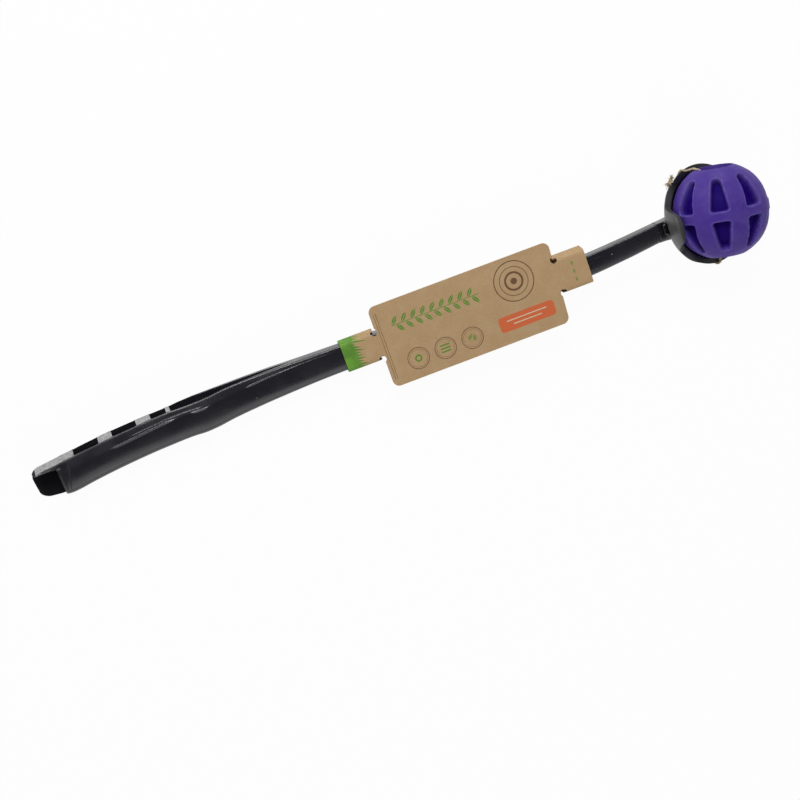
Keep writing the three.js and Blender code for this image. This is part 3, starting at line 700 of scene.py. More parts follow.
def moulded_plastic(name, base, roughness, mottle_reach, change=None):
    """Black moulded plastic: uneven gloss, fine grain, edges painted paler as rubbed wear and as a painted
    highlight, thin scratches and dust.
    """
    material, tree = new_material(name)
    place = node(tree, "TexCoord").outputs["Object"]
    grain = placed(tree, grain_group, {"Place": place, "Size": 0.55, "Mottle Size": 24.0})
    edge_wear_and_highlight = placed(tree, edge_group, {"Place": place, "Radius": 0.00055, "Break Size": 3.0})
    dust = placed(tree, dust_group, {"Place": place, "Spacing": 7.0, "Size": 0.42, "Share": 0.3})
    stretched = node(tree, "Mapping", {"Vector": place, "Scale": (26.0, 900.0, 900.0)}).outputs[0]
    scratch = ramped(tree, noise(tree, stretched, scale=1.0, detail=2.0)[0], 0.66, 0.74)
    # Edges and scratches painted paler: rubbed wear, and along the edges a painted highlight.
    marks = maths(tree, "MAXIMUM", times(tree, edge_wear_and_highlight["Mask"], 0.55), times(tree, scratch, 0.12))
    colour = mixed(tree, marks, base, plastic_rubbed_and_lit)
    colour = mixed(tree, times(tree, dust["Mask"], 0.7), colour, dust_colour)
    rough = ramped(tree, grain["Mottle"], 0.0, 1.0, roughness - mottle_reach, roughness + mottle_reach)
    rough = maths(tree, "ADD", rough, times(tree, marks, 0.25), clamp=True)
    if change is not None:
        colour, rough = change(tree, place, colour, rough)
    look = {"Base Color": colour, "Roughness": rough, "IOR": 1.5}
    surfaced(tree, look, grain["Height"], strength=0.16, depth=0.06, normal=edge_wear_and_highlight["Normal"])
    return material


def lands_painted_reflection(tree, place, colour, rough):
    """The flat lands between the pockets, and the tip's round, are painted pale in flecks: a painted
    reflection of the white floor that they face.
    """
    looks_out = parts_of(tree, node(tree, "TexCoord").outputs["Normal"])["Y"]
    facing = ramped(tree, looks_out, 0.9, 0.97)
    round_tip = times(tree, ramped(tree, looks_out, 0.25, 0.45), along_arm(tree, place, tip_x + 9, tip_x + 6))
    facing = maths(tree, "MAXIMUM", facing, round_tip)
    mask = times(tree, facing, along_arm(tree, place, land_3 + 3, land_3))
    flecks = placed(tree, grain_group, {"Place": place, "Size": 0.8, "Mottle Size": 2.6})
    land_reflection = mixed(tree, flecks["Mottle"], land_reflection_dark, land_reflection_pale)
    land_reflection = mixed(tree, ramped(tree, flecks["Height"], 0.5, 0.68, 0.0, 0.6), land_reflection, land_reflection_bright)
    return mixed(tree, mask, colour, land_reflection), maths(tree, "ADD", rough, times(tree, mask, 0.05))


# The pockets' walls: painted shade, mottled, and less dark near the open tip.
pocket_shade_plastic, tree = new_material("pocket_painted_shade")
place = node(tree, "TexCoord").outputs["Object"]
grain = placed(tree, grain_group, {"Place": place, "Size": 0.9, "Mottle Size": 14.0})
colour = mixed(tree, grain["Mottle"], pocket_shade_black, pocket_shade_mottle)
colour = mixed(tree, along_arm(tree, place, tip_x + 8, tip_x), colour, pocket_shade_tip)
rough = ramped(tree, grain["Mottle"], 0.0, 1.0, 0.7, 0.85)
look = {"Base Color": colour, "Roughness": rough, "Specular IOR Level": 0.15}
surfaced(tree, look, grain["Height"], strength=0.3, depth=0.1)

gloss = {"roughness": 0.275, "mottle_reach": 0.06}
arm.data.materials.append(moulded_plastic("arm_plastic", plastic_black, **gloss, change=lands_painted_reflection))
arm.data.materials.append(pocket_shade_plastic)
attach(arm, "launcher")
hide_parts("arm")


# The cup head: a second black moulding, a bowl with an open ring round the back of the ball and a
# satin palm plate that rises on the arm's side. Its short neck is pressed over the arm's tongue,
# and the latch block shows in a window.
ball_radius = 32.0
seat_radius = ball_radius + 0.4
cup_radius = seat_radius + 4.8
mouth_radius = seat_radius + 2.2
mouth_rise = 3.2
rim_drop = 15.0
palm_width, palm_shift, palm_rise = 31.0, -0.25, 1.85
edge_soft = 1.0
palm_thicker, palm_foot, palm_side = 1.7, (-21, -11), (16, 26)
cup_back_lean, cup_side_lean = 21, -4
cup_place = (
    Matrix.Translation((0, 0, cup_radius))
    @ Matrix.Rotation(math.radians(cup_back_lean), 4, "Y")
    @ Matrix.Rotation(math.radians(cup_side_lean), 4, "X")
)

# The palm's edge from one foot on the rim to the other: shares of half its width, and of its
# height above the rim.
palm_edge = np.array([
    [-1.06, 0], [-1, 0.02], [-0.94, 0.1], [-0.83, 0.27], [-0.63, 0.63], [-0.45, 0.81], [-0.24, 0.92],
    [0.08, 1], [0.3, 0.995], [0.45, 0.96], [0.58, 0.9], [0.67, 0.8], [0.75, 0.64], [0.84, 0.42],
    [0.92, 0.18], [0.98, 0.04], [1.06, 0],
])


def settle(value, low, high):
    t = np.clip((value - low) / (high - low), 0, 1)
    return t * t * (3 - 2 * t)


def inside_reach(elevation):
    """How far the cup's inside is from the ball's centre, in a direction above the cup's equator."""
    side = mouth_radius**2 - (mouth_rise * math.cos(elevation)) ** 2
    return max(seat_radius, mouth_rise * math.sin(elevation) + math.sqrt(side))


# The rim's places, each an angle round the cup's axis and a height: round the cup at one height, and
# then over the palm's edge from the +Y foot to the -Y foot.
rim_points, palm_points, edge_height = 112, 86, 17
foot_share = abs(palm_edge[0, 0]) * palm_width / 2 / math.sqrt(cup_radius**2 - rim_drop**2)
round_end = math.pi - math.asin(foot_share)
rim_line = [(angle, -rim_drop) for angle in np.linspace(-round_end, round_end, rim_points)]
steps_over = np.hypot(*np.diff(palm_edge * (palm_width / 2, edge_height), axis=0).T)
steps_over = np.concatenate([[0], np.cumsum(steps_over)])
for step in np.linspace(steps_over[-1], 0, palm_points)[1:-1]:
    y = palm_shift + palm_width / 2 * smooth_through(steps_over, palm_edge[:, 0], step)
    z = -rim_drop + (rim_drop + palm_rise) * smooth_through(steps_over, palm_edge[:, 1], step)
    rim_line.append((math.pi - math.asin(y / math.sqrt(cup_radius**2 - z * z)), z))


def on_sphere(angle, z, reach_of):
    """A point of the cup's outside or inside at an angle round its axis and a height."""
    reach = reach_of(math.asin(z / cup_radius))
    for _ in range(3):
        reach = reach_of(math.asin(max(-1, min(1, z / reach))))
    flat = math.sqrt(max(reach * reach - z * z, 0))
    return np.array([flat * math.cos(angle), flat * math.sin(angle), z])


def fitted_outside(point):
    """A point moved onto the cup's outside, which is thicker at the palm plate."""
    thicker = palm_thicker * settle(point[2], *palm_foot) * settle(-point[0], *palm_side)
    return point / np.linalg.norm(point) * (cup_radius + thicker)


outer_edge = np.array([fitted_outside(on_sphere(a, z, lambda e: cup_radius)) for a, z in rim_line])
inner_edge = np.array([on_sphere(a, z, inside_reach) for a, z in rim_line])


def drawn_down(edge, amount, reach_of):
    """The edge moved into the shell at right angles to itself, and kept on the surface."""
    tangents = np.roll(edge, -1, axis=0) - np.roll(edge, 1, axis=0)
    inward = np.cross(tangents, edge)
    moved = edge + inward / np.linalg.norm(inward, axis=1)[:, None] * amount
    fitted = []
    for p in moved:
        away = np.linalg.norm(p)
        fitted.append(p / away * reach_of(math.asin(p[2] / away)))
    return np.array(fitted)


outer_low = drawn_down(outer_edge, edge_soft, lambda e: cup_radius)
inner_low = drawn_down(inner_edge, edge_soft, inside_reach)
rows_down, bottom_gap = 34, 0.03


def meridian(start, reach_of):
    """Points from a place near the rim down to just short of the bottom."""
    away = np.linalg.norm(start)
    elevation = math.asin(start[2] / away)
    angle = math.atan2(start[1], start[0])
    line = []
    for e in np.linspace(elevation, -math.pi / 2 + bottom_gap, rows_down)[1:]:
        reach = reach_of(e)
        flat = reach * math.cos(e)
        line.append((flat * math.cos(angle), flat * math.sin(angle), reach * math.sin(e)))
    return line


columns = []
for i in range(len(rim_line)):
    a, b = outer_edge[i], inner_edge[i]
    soft = (b - a) * edge_soft / np.linalg.norm(b - a)
    outer_line = [tuple(fitted_outside(np.array(p))) for p in meridian(outer_low[i], lambda e: cup_radius)]
    column = outer_line[::-1] + eased(fitted_outside(outer_low[i]), a, a + soft, 4)
    columns.append(column + eased(b - soft, b, inner_low[i], 4) + meridian(inner_low[i], inside_reach))
count = len(columns[0])
points = [cup_place @ Vector(p) for column in columns for p in column]
faces = []
for i in range(len(columns)):
    j = (i + 1) % len(columns)
    for k in range(count - 1):
        faces.append((i * count + k, i * count + k + 1, j * count + k + 1, j * count + k))
faces.append(tuple(i * count for i in range(len(columns))))
faces.append(tuple(reversed([i * count + count - 1 for i in range(len(columns))])))
cup = solid("cup_moulding", points, faces)

# The boss is the arm's outline, which widens towards the cup and has a bevel at the step line.
boss_length, boss_flare, boss_stand, boss_bevel = 11.8, 0.9, 0.2, 0.3
boss_start, boss_end = seam_x + fit_gap, seam_x + boss_length
places = [(boss_start, boss_stand - boss_bevel), (boss_start + boss_bevel, boss_stand)]
for t in np.linspace(0, 1, 15)[1:]:
    places.append((boss_start + (boss_end - boss_start) * t, boss_stand + boss_flare * t * t))
rings = []
for x, wider in places:
    grow = 1 + 2 * wider / neck_width
    outline = arm_section(seam_x)
    rings.append([(x, neck_y + (y - neck_y) * grow, neck_z + (z - neck_z) * grow) for _, y, z in outline])
boss = loft("boss", rings)
cup_space, pole_gap = 0.9, 0.02
inside = []
for e in np.linspace(-math.pi / 2 + pole_gap, math.pi / 2 - pole_gap, 41):
    reach = inside_reach(e) + cup_space
    circle = arc((0, 0), reach * math.cos(e), 0, 360, 96)[:-1]
    inside.append([cup_place @ Vector((x, y, reach * math.sin(e))) for x, y in circle])
worked(boss, [(loft("cup_space", inside), "DIFFERENCE")])

# Four small pips stand beside the latch. Each: place from the step line, sideways, and size.
pip_rows = [(0.9, 3.4, 0.5), (2.4, 4.3, 0.42), (4.3, 4.9, 0.4), (3.3, 2.6, 0.34)]
pip_sunk, pip_lean, pip_tall, pip_root = 0.3, 0.06, 1.1, 1.2
pips = []
for along, aside, size in pip_rows:
    foot = neck_front - pip_sunk - pip_lean * aside
    rings = []
    for angle in np.radians([0, 25, 50, 72]):
        circle = arc((seam_x + along, neck_y + aside), size * math.cos(angle), 0, 360, 10)[:-1]
        rings.append([(x, y, foot + size * math.sin(angle) * pip_tall) for x, y in circle])
    rings.insert(0, [(x, y, z - pip_root) for x, y, z in rings[0]])
    pips.append(loft("pip", rings))
worked(cup, [
    (boss, "UNION"),
    *[(pip, "UNION") for pip in pips],
    (tongue(fit_gap, tongue_length + fit_gap), "DIFFERENCE"),
    (latch(latch_gap, neck_front + latch_stand + past, 0), "DIFFERENCE"),
])
shaded(cup, crease=40)

cup_black = (0.013, 0.0135, 0.0165, 1)
# A darker, glossier black for the neck: glossier by its finish, and darker as painted shade.
neck_shaded_black = (0.0035, 0.0035, 0.0055, 1)
# A paler grey for the palm plate: painted light.
palm_lit_grey = (0.072, 0.074, 0.07, 1)
palm_start, palm_full = -20, -30


def palm_painted_light(tree, place, colour, rough):
    """The palm plate and the ring beside it are satin, and are painted paler in patches than the rest of the
    cup: painted light where the light falls on them.
    """
    palm = along_arm(tree, place, palm_start, palm_full)
    # The patchy share of the palm's painted light.
    patchy_paleness = ramped(tree, noise(tree, place, scale=90.0, detail=3.0)[0], 0.3, 0.7, 0.6, 1.0)
    colour = mixed(tree, times(tree, palm, patchy_paleness), colour, palm_lit_grey)
    return colour, maths(tree, "ADD", rough, times(tree, palm, 0.07))


gloss = {"roughness": 0.26, "mottle_reach": 0.05}
cup.data.materials.append(moulded_plastic("cup_plastic", cup_black, **gloss, change=palm_painted_light))
neck_gloss_shaded = moulded_plastic("neck_plastic_painted_shade", neck_shaded_black, roughness=0.2, mottle_reach=0.04)
cup.data.materials.append(neck_gloss_shaded)
middle_of_cup = Vector((ball_place.x, ball_place.y, cup_radius))
neck_off, tongue_off = 0.4, 0.02
for face in cup.data.polygons:
    away = (face.center / mm - middle_of_cup).length
    face.material_index = 1 if away > cup_radius + palm_thicker + neck_off else 0
# The tongue and the latch block take the same neck plastic, painted darker as shade.
arm.data.materials.append(neck_gloss_shaded)
for face in arm.data.polygons:
    if face.center.x > (origin.x + seam_x + tongue_off) * mm:
        face.material_index = 2
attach(cup, "launcher")
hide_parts("cup_head")


# The ball: moulded purple rubber with two rows of eight wedge-shaped grooves, a plain belt between
# them, a shallow dish at each pole and a hole right through. Its skin is matt, with soft edges, a
# pale bloom and a few scuffs. It sits in the cup.
bore_radius = 5.0
dish_radius, dish_depth = 12.0, 6.6
groove_depth, groove_length = 5.0, 23.0
groove_wide, groove_narrow, groove_corner = 6.3, 3.3, 1.8
belt_width = 8.0
groove_count = 8
base_bow = 0.5
ball_yaw, ball_lean = math.radians(-8.3), math.radians(-21.3)
ball_turn = Matrix.Rotation(ball_yaw, 3, "Z") @ Matrix.Rotation(ball_lean, 3, "Y")

half_angle = groove_length / 2 / ball_radius
middle_angle = belt_width / 2 / ball_radius + half_angle
groove_reach = ball_radius * math.sin(half_angle)
crown = groove_reach - groove_narrow


def groove_distance(way):
    """How far a direction from the ball's centre is outside the nearest groove's edge, in mm."""
    sector = 2 * math.pi / groove_count
    turned = np.arctan2(way[:, 2], way[:, 0])
    turned = (turned + sector / 2) % sector - sector / 2
    flat = np.hypot(way[:, 0], way[:, 2])
    x, y, z = flat * np.cos(turned), np.abs(way[:, 1]), flat * np.sin(turned)
    side = np.abs(z) * ball_radius
    up = (y * math.cos(middle_angle) - x * math.sin(middle_angle)) * ball_radius
    fall = np.array([groove_reach + crown, groove_wide - groove_narrow])
    fall /= np.hypot(*fall)
    flank = (side - groove_wide) * fall[0] + (up + groove_reach) * fall[1]
    base = -groove_reach - up - base_bow * (1 - (side / groove_wide) ** 2).clip(0)
    a, b = flank + groove_corner, base + groove_corner
    corner = np.minimum(np.maximum(a, b), 0) + np.hypot(a.clip(0), b.clip(0)) - groove_corner
    wedge = np.maximum(corner, up - crown)
    return np.minimum(wedge, np.hypot(side, up - crown) - groove_narrow)


# The ball's profile from the bore's middle, out over the upper dish, down the outside and back.
edge_round, lip_round = 0.7, 0.9
dish_z = ball_radius - dish_depth
shoulder = math.asin(dish_radius / ball_radius)
over_lip = shoulder + lip_round / ball_radius
outside = arc((0, 0), ball_radius, 90 - math.degrees(over_lip), math.degrees(over_lip) - 90, 195)
top = [(bore_radius, h) for h in np.linspace(0, dish_z - edge_round, 14)]
top += eased(top[-1], (bore_radius, dish_z), (bore_radius + edge_round, dish_z), 4)[1:]
top += [(r, dish_z) for r in np.linspace(bore_radius + edge_round, dish_radius - lip_round, 8)[1:-1]]
wall_foot = (dish_radius, dish_z + edge_round)
top += eased((dish_radius - lip_round, dish_z), (dish_radius, dish_z), wall_foot, 4)
lip_z = ball_radius * math.cos(shoulder)
top += eased((dish_radius, lip_z - edge_round), (dish_radius, lip_z), outside[0], 5)
profile = np.array(top + outside[1:-1] + [(r, -h) for r, h in reversed(top[1:])])
on_outside = np.zeros(len(profile))
on_outside[len(top) - 1:len(top) + len(outside) - 1] = 1

# Each groove falls off over its edge, beside which the rubber swells a little.
edge_out, edge_in = 0.45, -1.0
swell_place, swell_wide, swell_high = 0.75, 0.6, 0.12
around_points = 368
around = np.linspace(0, 2 * math.pi, around_points + 1)[:-1]
radius_grid, angle_grid = np.meshgrid(profile[:, 0], around)
height_grid = np.meshgrid(profile[:, 1], around)[0]
outside_grid = np.meshgrid(on_outside, around)[0].ravel()
local = np.stack([radius_grid * np.cos(angle_grid), height_grid, radius_grid * np.sin(angle_grid)], -1)
local = local.reshape(-1, 3)
ways = local / np.linalg.norm(local, axis=1)[:, None]
distance = groove_distance(ways)
sunk = settle(distance, edge_out, edge_in) * outside_grid
swell = np.exp(-((distance - swell_place) / swell_wide) ** 2) * swell_high * outside_grid
local -= ways * (groove_depth * sunk - swell)[:, None]
points = local @ np.array(ball_turn.transposed()) + np.array((0, 0, cup_radius))
rows = len(profile)
faces = []
for i in range(len(around)):
    j = (i + 1) % len(around)
    for k in range(rows):
        m = (k + 1) % rows
        faces.append((i * rows + k, j * rows + k, j * rows + m, i * rows + m))
ball = facing_out(solid("rubber_ball", points.tolist(), faces))
ball.data.shade_smooth()

# The bore and the dishes' floors take the grooves' dark colour, a deeper purple with painted shade, and the
# grooves' edges are worn paler, with a painted highlight.
rim_pale_place, rim_pale_wide = 0.5, 0.65
lip_points = 7
in_dish = np.zeros(len(profile))
in_dish[:len(top) - lip_points] = 1
in_dish[len(profile) - len(top) + 1 + lip_points:] = 1
recess_shade_mask = np.maximum(sunk, np.meshgrid(in_dish, around)[0].ravel())
rim_wear_and_highlight = np.exp(-((distance - rim_pale_place) / rim_pale_wide) ** 2) * outside_grid
for label, values in (("groove", recess_shade_mask), ("rim", rim_wear_and_highlight)):
    made = ball.data.attributes.new(label, "FLOAT", "POINT")
    made.data.foreach_set("value", values.astype(np.float32))

rubber_purple = (0.06, 0.0255, 0.252, 1)
# A paler purple for the grooves' rims: wear, and a painted highlight.
rubber_worn_and_lit = (0.115, 0.078, 0.35, 1)
# Dark purple for the grooves, dishes and bore: a deeper purple, darkened further as painted shade.
rubber_deep_and_shaded = (0.012, 0.0006, 0.135, 1)
rubber_bloom = (0.26, 0.23, 0.42, 1)

rubber, tree = new_material("ball_rubber")
place = node(tree, "TexCoord").outputs["Object"]
groove = node(tree, "Attribute", attribute_name="groove").outputs["Fac"]
rim = node(tree, "Attribute", attribute_name="rim").outputs["Fac"]
grain = placed(tree, grain_group, {"Place": place, "Size": 0.7, "Mottle Size": 11.0})
clouds = placed(tree, grain_group, {"Place": place, "Size": 2.2, "Mottle Size": 32.0})
dust = placed(tree, dust_group, {"Place": place, "Spacing": 3.4, "Size": 0.26, "Share": 0.32})
# The recesses take the dark purple, partly painted shade.
colour = mixed(tree, ramped(tree, groove, 0.0, 0.75), rubber_purple, rubber_deep_and_shaded)
# The grooves' rims are painted paler in patches: wear, and a painted highlight along them.
patchy_paleness = times(tree, rim, ramped(tree, clouds["Height"], 0.3, 0.62, 0.25, 0.85))
colour = mixed(tree, patchy_paleness, colour, rubber_worn_and_lit)
bloom = times(tree, times(tree, grain["Mottle"], clouds["Mottle"]), 0.16)
scuffs = times(tree, ramped(tree, clouds["Height"], 0.58, 0.7), ramped(tree, clouds["Mottle"], 0.5, 1.0))
bloom = maths(tree, "MAXIMUM", bloom, times(tree, scuffs, 0.22))
bloom = maths(tree, "MAXIMUM", bloom, times(tree, dust["Mask"], 0.4))
bloom = times(tree, bloom, maths(tree, "SUBTRACT", 1.0, times(tree, groove, 0.85)))
colour = mixed(tree, bloom, colour, rubber_bloom)
rough = ramped(tree, grain["Mottle"], 0.0, 1.0, 0.46, 0.62)
shine = ramped(tree, groove, 0.0, 0.75, 0.16, 0.03)
look = {"Base Color": colour, "Roughness": rough, "Specular IOR Level": shine}
surfaced(tree, look, grain["Height"], strength=0.3, depth=0.1)
ball.data.materials.append(rubber)
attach(ball, "ball")
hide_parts("ball")


# The card sleeve: one die-cut sheet of kraft board. A flat panel carries the print, and a strip at
# each end is folded round the shaft into a collar and glued at the back, with a round notch where
# each fold meets the panel.
board = 0.6
sleeve_gap = 0.35
cup_end_x = seam_x - 51.0
collar_1_length, panel_length, collar_2_length = 24.8, 125.4, 22.2
sleeve_length = collar_1_length + panel_length + collar_2_length
grip_end_x = cup_end_x - sleeve_length
panel_width, panel_shift, panel_corner, panel_slant = 56.0, -2.1, 4.5, 1.1
notch_radius = 2.4
collar_2_width, collar_2_shift = 24.0, 1.2
fold_radius = 3.0
pitch = math.atan2(arm_front(cup_end_x) - arm_front(grip_end_x), sleeve_length)
yaw = math.atan2(arm_side(cup_end_x) - arm_side(grip_end_x), sleeve_length)
collar_1_width = arm_width(grip_end_x) + 2 * (sleeve_gap + board)
collar_depth = arm_depth(grip_end_x) / math.cos(pitch) + 2 * sleeve_gap
sleeve_place = (
    Matrix.Translation((grip_end_x, arm_side(grip_end_x), arm_front(grip_end_x) + sleeve_gap))
    @ Matrix.Rotation(yaw, 4, "Z")
    @ Matrix.Rotation(-pitch, 4, "Y")
)
panel_start, panel_end = collar_1_length, collar_1_length + panel_length
slit = notch_radius / 2

fold_mid = fold_radius - board / 2
side_run = collar_depth + board - 2 * fold_mid
lap = board + 0.08
lap_over, lap_short = 4, 1.5


def folded(across, half, side):
    """Where a point of a collar's strip lies once folded: across, up and the way its face looks.
    One end of the strip laps over the other at the back."""
    flat_half = half - board / 2 - fold_mid
    run = abs(across)
    turn_run = math.pi / 2 * fold_mid
    overlap = lap * settle(run, flat_half + turn_run, flat_half + turn_run + side_run) if side > 0 else 0.0
    if run <= flat_half:
        y, z, angle = run, board / 2, 0
    elif run <= flat_half + turn_run:
        angle = (run - flat_half) / fold_mid
        y, z = flat_half + fold_mid * math.sin(angle), board / 2 - fold_mid * (1 - math.cos(angle))
    elif run <= flat_half + turn_run + side_run:
        y, z = flat_half + fold_mid, board / 2 - fold_mid - (run - flat_half - turn_run)
        angle = math.pi / 2
    elif run <= flat_half + 2 * turn_run + side_run:
        angle = math.pi / 2 + (run - flat_half - turn_run - side_run) / fold_mid
        y = flat_half + fold_mid * math.sin(angle)
        z = board / 2 - fold_mid - side_run + fold_mid * math.cos(angle)
    else:
        y = flat_half - (run - flat_half - 2 * turn_run - side_run)
        z, angle = board / 2 - 2 * fold_mid - side_run, math.pi
    out_y, out_z = math.sin(angle), math.cos(angle)
    sign = 1 if side > 0 else -1
    return sign * (y + out_y * overlap), z + out_z * overlap, sign * out_y, out_z


def strip_reach(half, side):
    """How far a strip's end is from its middle, along the board."""
    flat_half = half - board / 2 - fold_mid
    to_back = flat_half + math.pi * fold_mid + side_run
    return to_back + (flat_half + lap_over if side > 0 else 2 * flat_half - lap_short)


def fold_marks(half, side):
    """Places across a strip where the sheet needs points, so that its folds are round."""
    flat_half = half - board / 2 - fold_mid
    turn_run = math.pi / 2 * fold_mid
    marks = list(np.linspace(0, flat_half, 4)) + list(flat_half + np.linspace(0, turn_run, 7)[1:])
    second = flat_half + turn_run + side_run
    marks += list(np.linspace(flat_half + turn_run, second, 4)[1:])
    marks += list(second + np.linspace(0, turn_run, 7)[1:])
    return marks + list(np.linspace(second + turn_run, strip_reach(half, side), 6)[1:])


flat_points, flat_faces = [], []


def lay_out(outline):
    start = len(flat_points)
    flat_points.extend(Vector(p) for p in outline)
    flat_faces.append(list(range(start, len(flat_points))))


collars = [
    (0.0, panel_start - slit, collar_1_width / 2, 0.0),
    (panel_end + slit, sleeve_length, collar_2_width / 2, collar_2_shift),
]
for start, end, half, shift in collars:
    across_marks = [-m for m in reversed(fold_marks(half, -1))] + fold_marks(half, 1)[1:]
    low_edge = [(start, shift + m) for m in reversed(across_marks)]
    high_edge = [(end, shift + m) for m in across_marks]
    lay_out(low_edge + high_edge)
    for u in np.linspace(start, end, 7)[1:-1]:
        flat_points.extend(Vector((u, shift + m)) for m in across_marks[1:-1])
panel_low, panel_high = panel_shift - panel_width / 2, panel_shift + panel_width / 2
low_corner = arc((panel_start + panel_corner, panel_low + panel_corner), panel_corner, 180, 270, 7)
low_far = arc((panel_end - panel_slant - panel_corner, panel_low + panel_corner), panel_corner, 270, 360, 7)
high_far = arc((panel_end + panel_slant - panel_corner, panel_high - panel_corner), panel_corner, 0, 90, 7)
high_corner = arc((panel_start + panel_corner, panel_high - panel_corner), panel_corner, 90, 180, 7)
lay_out(low_corner + low_far + high_far + high_corner)
bridges = [
    (panel_start - slit - 1, panel_start + 1, collar_1_width, 0.0),
    (panel_end - 1, panel_end + slit + 1, collar_2_width, collar_2_shift),
]
for start, end, width, shift in bridges:
    low, high = shift - (width / 2 - fold_radius), shift + (width / 2 - fold_radius)
    lay_out([(start, low), (end, low), (end, high), (start, high)])
grid_u, grid_w = 4.2, 4.0
for u in np.arange(panel_start + 3, panel_end - 2, grid_u):
    for w in np.arange(panel_low + 3, panel_high - 2, grid_w):
        flat_points.append(Vector((u, w)))

# The notches are laid out last, so that what lies in them can be left out of the sheet.
notch_in = 0.4
sheet_faces = len(flat_faces)
for start, end, half, shift in collars:
    u = end if start == 0 else start
    for side in (-1, 1):
        lay_out(arc((u, shift + side * (half - notch_in)), notch_radius, 0, 342, 19))

laid, _, triangles, _, _, parents = delaunay_2d_cdt(flat_points, [], flat_faces, 1, 1e-5)
kept = [t for t, found in zip(triangles, parents) if found and all(f < sheet_faces for f in found)]
used = sorted({i for t in kept for i in t})
renumbered = {old: new for new, old in enumerate(used)}
droop_middle, droop_lean, droop_wave, wave_reach = 0.55, 0.22, 0.16, 17
kept = [[renumbered[i] for i in t] for t in kept]
laid = [laid[i] for i in used]


def on_card(u, w, stand):
    """A point of the sheet in the sleeve's own frame, at a height over the board's middle."""
    for start, end, half, shift in collars:
        if start - 1e-4 <= u <= end + 1e-4:
            side = 1 if w >= shift else -1
            y, z, out_y, out_z = folded(w - shift, half, side)
            return (u, shift + y + out_y * stand, z + out_z * stand)
    off = (w - panel_shift) / (panel_width / 2)
    ends = math.sin(math.pi * (u - panel_start) / panel_length)
    droop = (droop_wave * math.sin(u / wave_reach) - droop_middle) * off * off + droop_lean * ends * off
    return (u, w, board / 2 + droop + stand)


points = [sleeve_place @ Vector(on_card(u, w, up)) for up in (board / 2, -board / 2) for u, w in laid]
under = len(laid)
faces = [face for a, b, c in kept for face in ((a, b, c), (c + under, b + under, a + under))]
edges = {edge: True for a, b, c in kept for edge in ((a, b), (b, c), (c, a))}
faces += [(b, a, a + under, b + under) for a, b in edges if (b, a) not in edges]
card = facing_out(solid("folded_card", points, faces))
flat_place = np.array([(u, w, 1) for u, w in laid] + [(u, w, 0) for u, w in laid], np.float32)
made = card.data.attributes.new("flat_place", "FLOAT_VECTOR", "POINT")
made.data.foreach_set("vector", flat_place.ravel())
card.data.shade_smooth()
card_crease = 48
card.data.set_sharp_from_angle(angle=math.radians(card_crease))

kraft_brown = (0.445, 0.285, 0.141, 1)
kraft_dark = (0.245, 0.155, 0.075, 1)
kraft_pale = (0.56, 0.43, 0.27, 1)
kraft_cut = (0.50, 0.385, 0.25, 1)
ink_brown = (0.13, 0.062, 0.026, 1)
ink_green = (0.075, 0.235, 0.018, 1)
ink_grass = (0.14, 0.36, 0.03, 1)
ink_orange = (0.62, 0.12, 0.035, 1)
ink_cream = (0.63, 0.55, 0.38, 1)
ink_edge = 0.16


def place_from(tree, place, centre):
    """The two parts of a flat place measured from a centre."""
    parts = parts_of(tree, node(tree, "VectorMath", {0: place, 1: centre}, operation="SUBTRACT").outputs[0])
    return parts["X"], parts["Y"]


def flat_length(tree, x, y):
    flat = node(tree, "CombineXYZ", {0: x, 1: y}).outputs[0]
    return node(tree, "VectorMath", {0: flat}, operation="LENGTH").outputs["Value"]


# Printed shapes, each a mask over the flat sheet: a ring, a bar with round corners and a leaf.
ring_inputs = {"Place": (0, 0, 0), "Centre": (0, 0, 0), "Radius": 5.0, "Line": 0.6}
tree, given, out = new_group("printed_ring", ring_inputs, {"Mask": "Float"})
ring_group = tree
reach = flat_length(tree, *place_from(tree, given["Place"], given["Centre"]))
off = maths(tree, "ABSOLUTE", maths(tree, "SUBTRACT", reach, given["Radius"]))
off = maths(tree, "SUBTRACT", off, times(tree, given["Line"], 0.5))
tree.links.new(ramped(tree, off, ink_edge / 2, -ink_edge / 2), out["Mask"])

bar_inputs = {"Place": (0, 0, 0), "Centre": (0, 0, 0), "Half Length": 10.0, "Half Width": 3.0, "Corner": 1.0}
tree, given, out = new_group("printed_bar", bar_inputs, {"Mask": "Float"})
bar_group = tree
x, y = place_from(tree, given["Place"], given["Centre"])
reaches = []
for part, half in ((x, given["Half Length"]), (y, given["Half Width"])):
    straight = maths(tree, "SUBTRACT", half, given["Corner"])
    reach = maths(tree, "SUBTRACT", maths(tree, "ABSOLUTE", part), straight)
    reaches.append(maths(tree, "MAXIMUM", reach, 0.0))
off = maths(tree, "SUBTRACT", flat_length(tree, *reaches), given["Corner"])
tree.links.new(ramped(tree, off, ink_edge / 2, -ink_edge / 2), out["Mask"])

leaf_inputs = {"Place": (0, 0, 0), "Centre": (0, 0, 0), "Turn": 0.0, "Half Length": 4.0, "Half Width": 1.4}
tree, given, out = new_group("printed_leaf", leaf_inputs, {"Mask": "Float"})
leaf_group = tree
x, y = place_from(tree, given["Place"], given["Centre"])
flat = node(tree, "CombineXYZ", {0: x, 1: y}).outputs[0]
turned = {"Vector": flat, "Axis": (0, 0, 1), "Angle": given["Turn"]}
parts = parts_of(tree, node(tree, "VectorRotate", turned, rotation_type="AXIS_ANGLE").outputs[0])
along = maths(tree, "DIVIDE", parts["X"], given["Half Length"])
belly = maths(tree, "SUBTRACT", 1.0, times(tree, along, along))
belly = times(tree, belly, given["Half Width"])
aside = maths(tree, "ABSOLUTE", parts["Y"])
blade = ramped(tree, maths(tree, "SUBTRACT", aside, belly), ink_edge / 2, -ink_edge / 2)
tree.links.new(times(tree, blade, ramped(tree, aside, 0.1, 0.24)), out["Mask"])

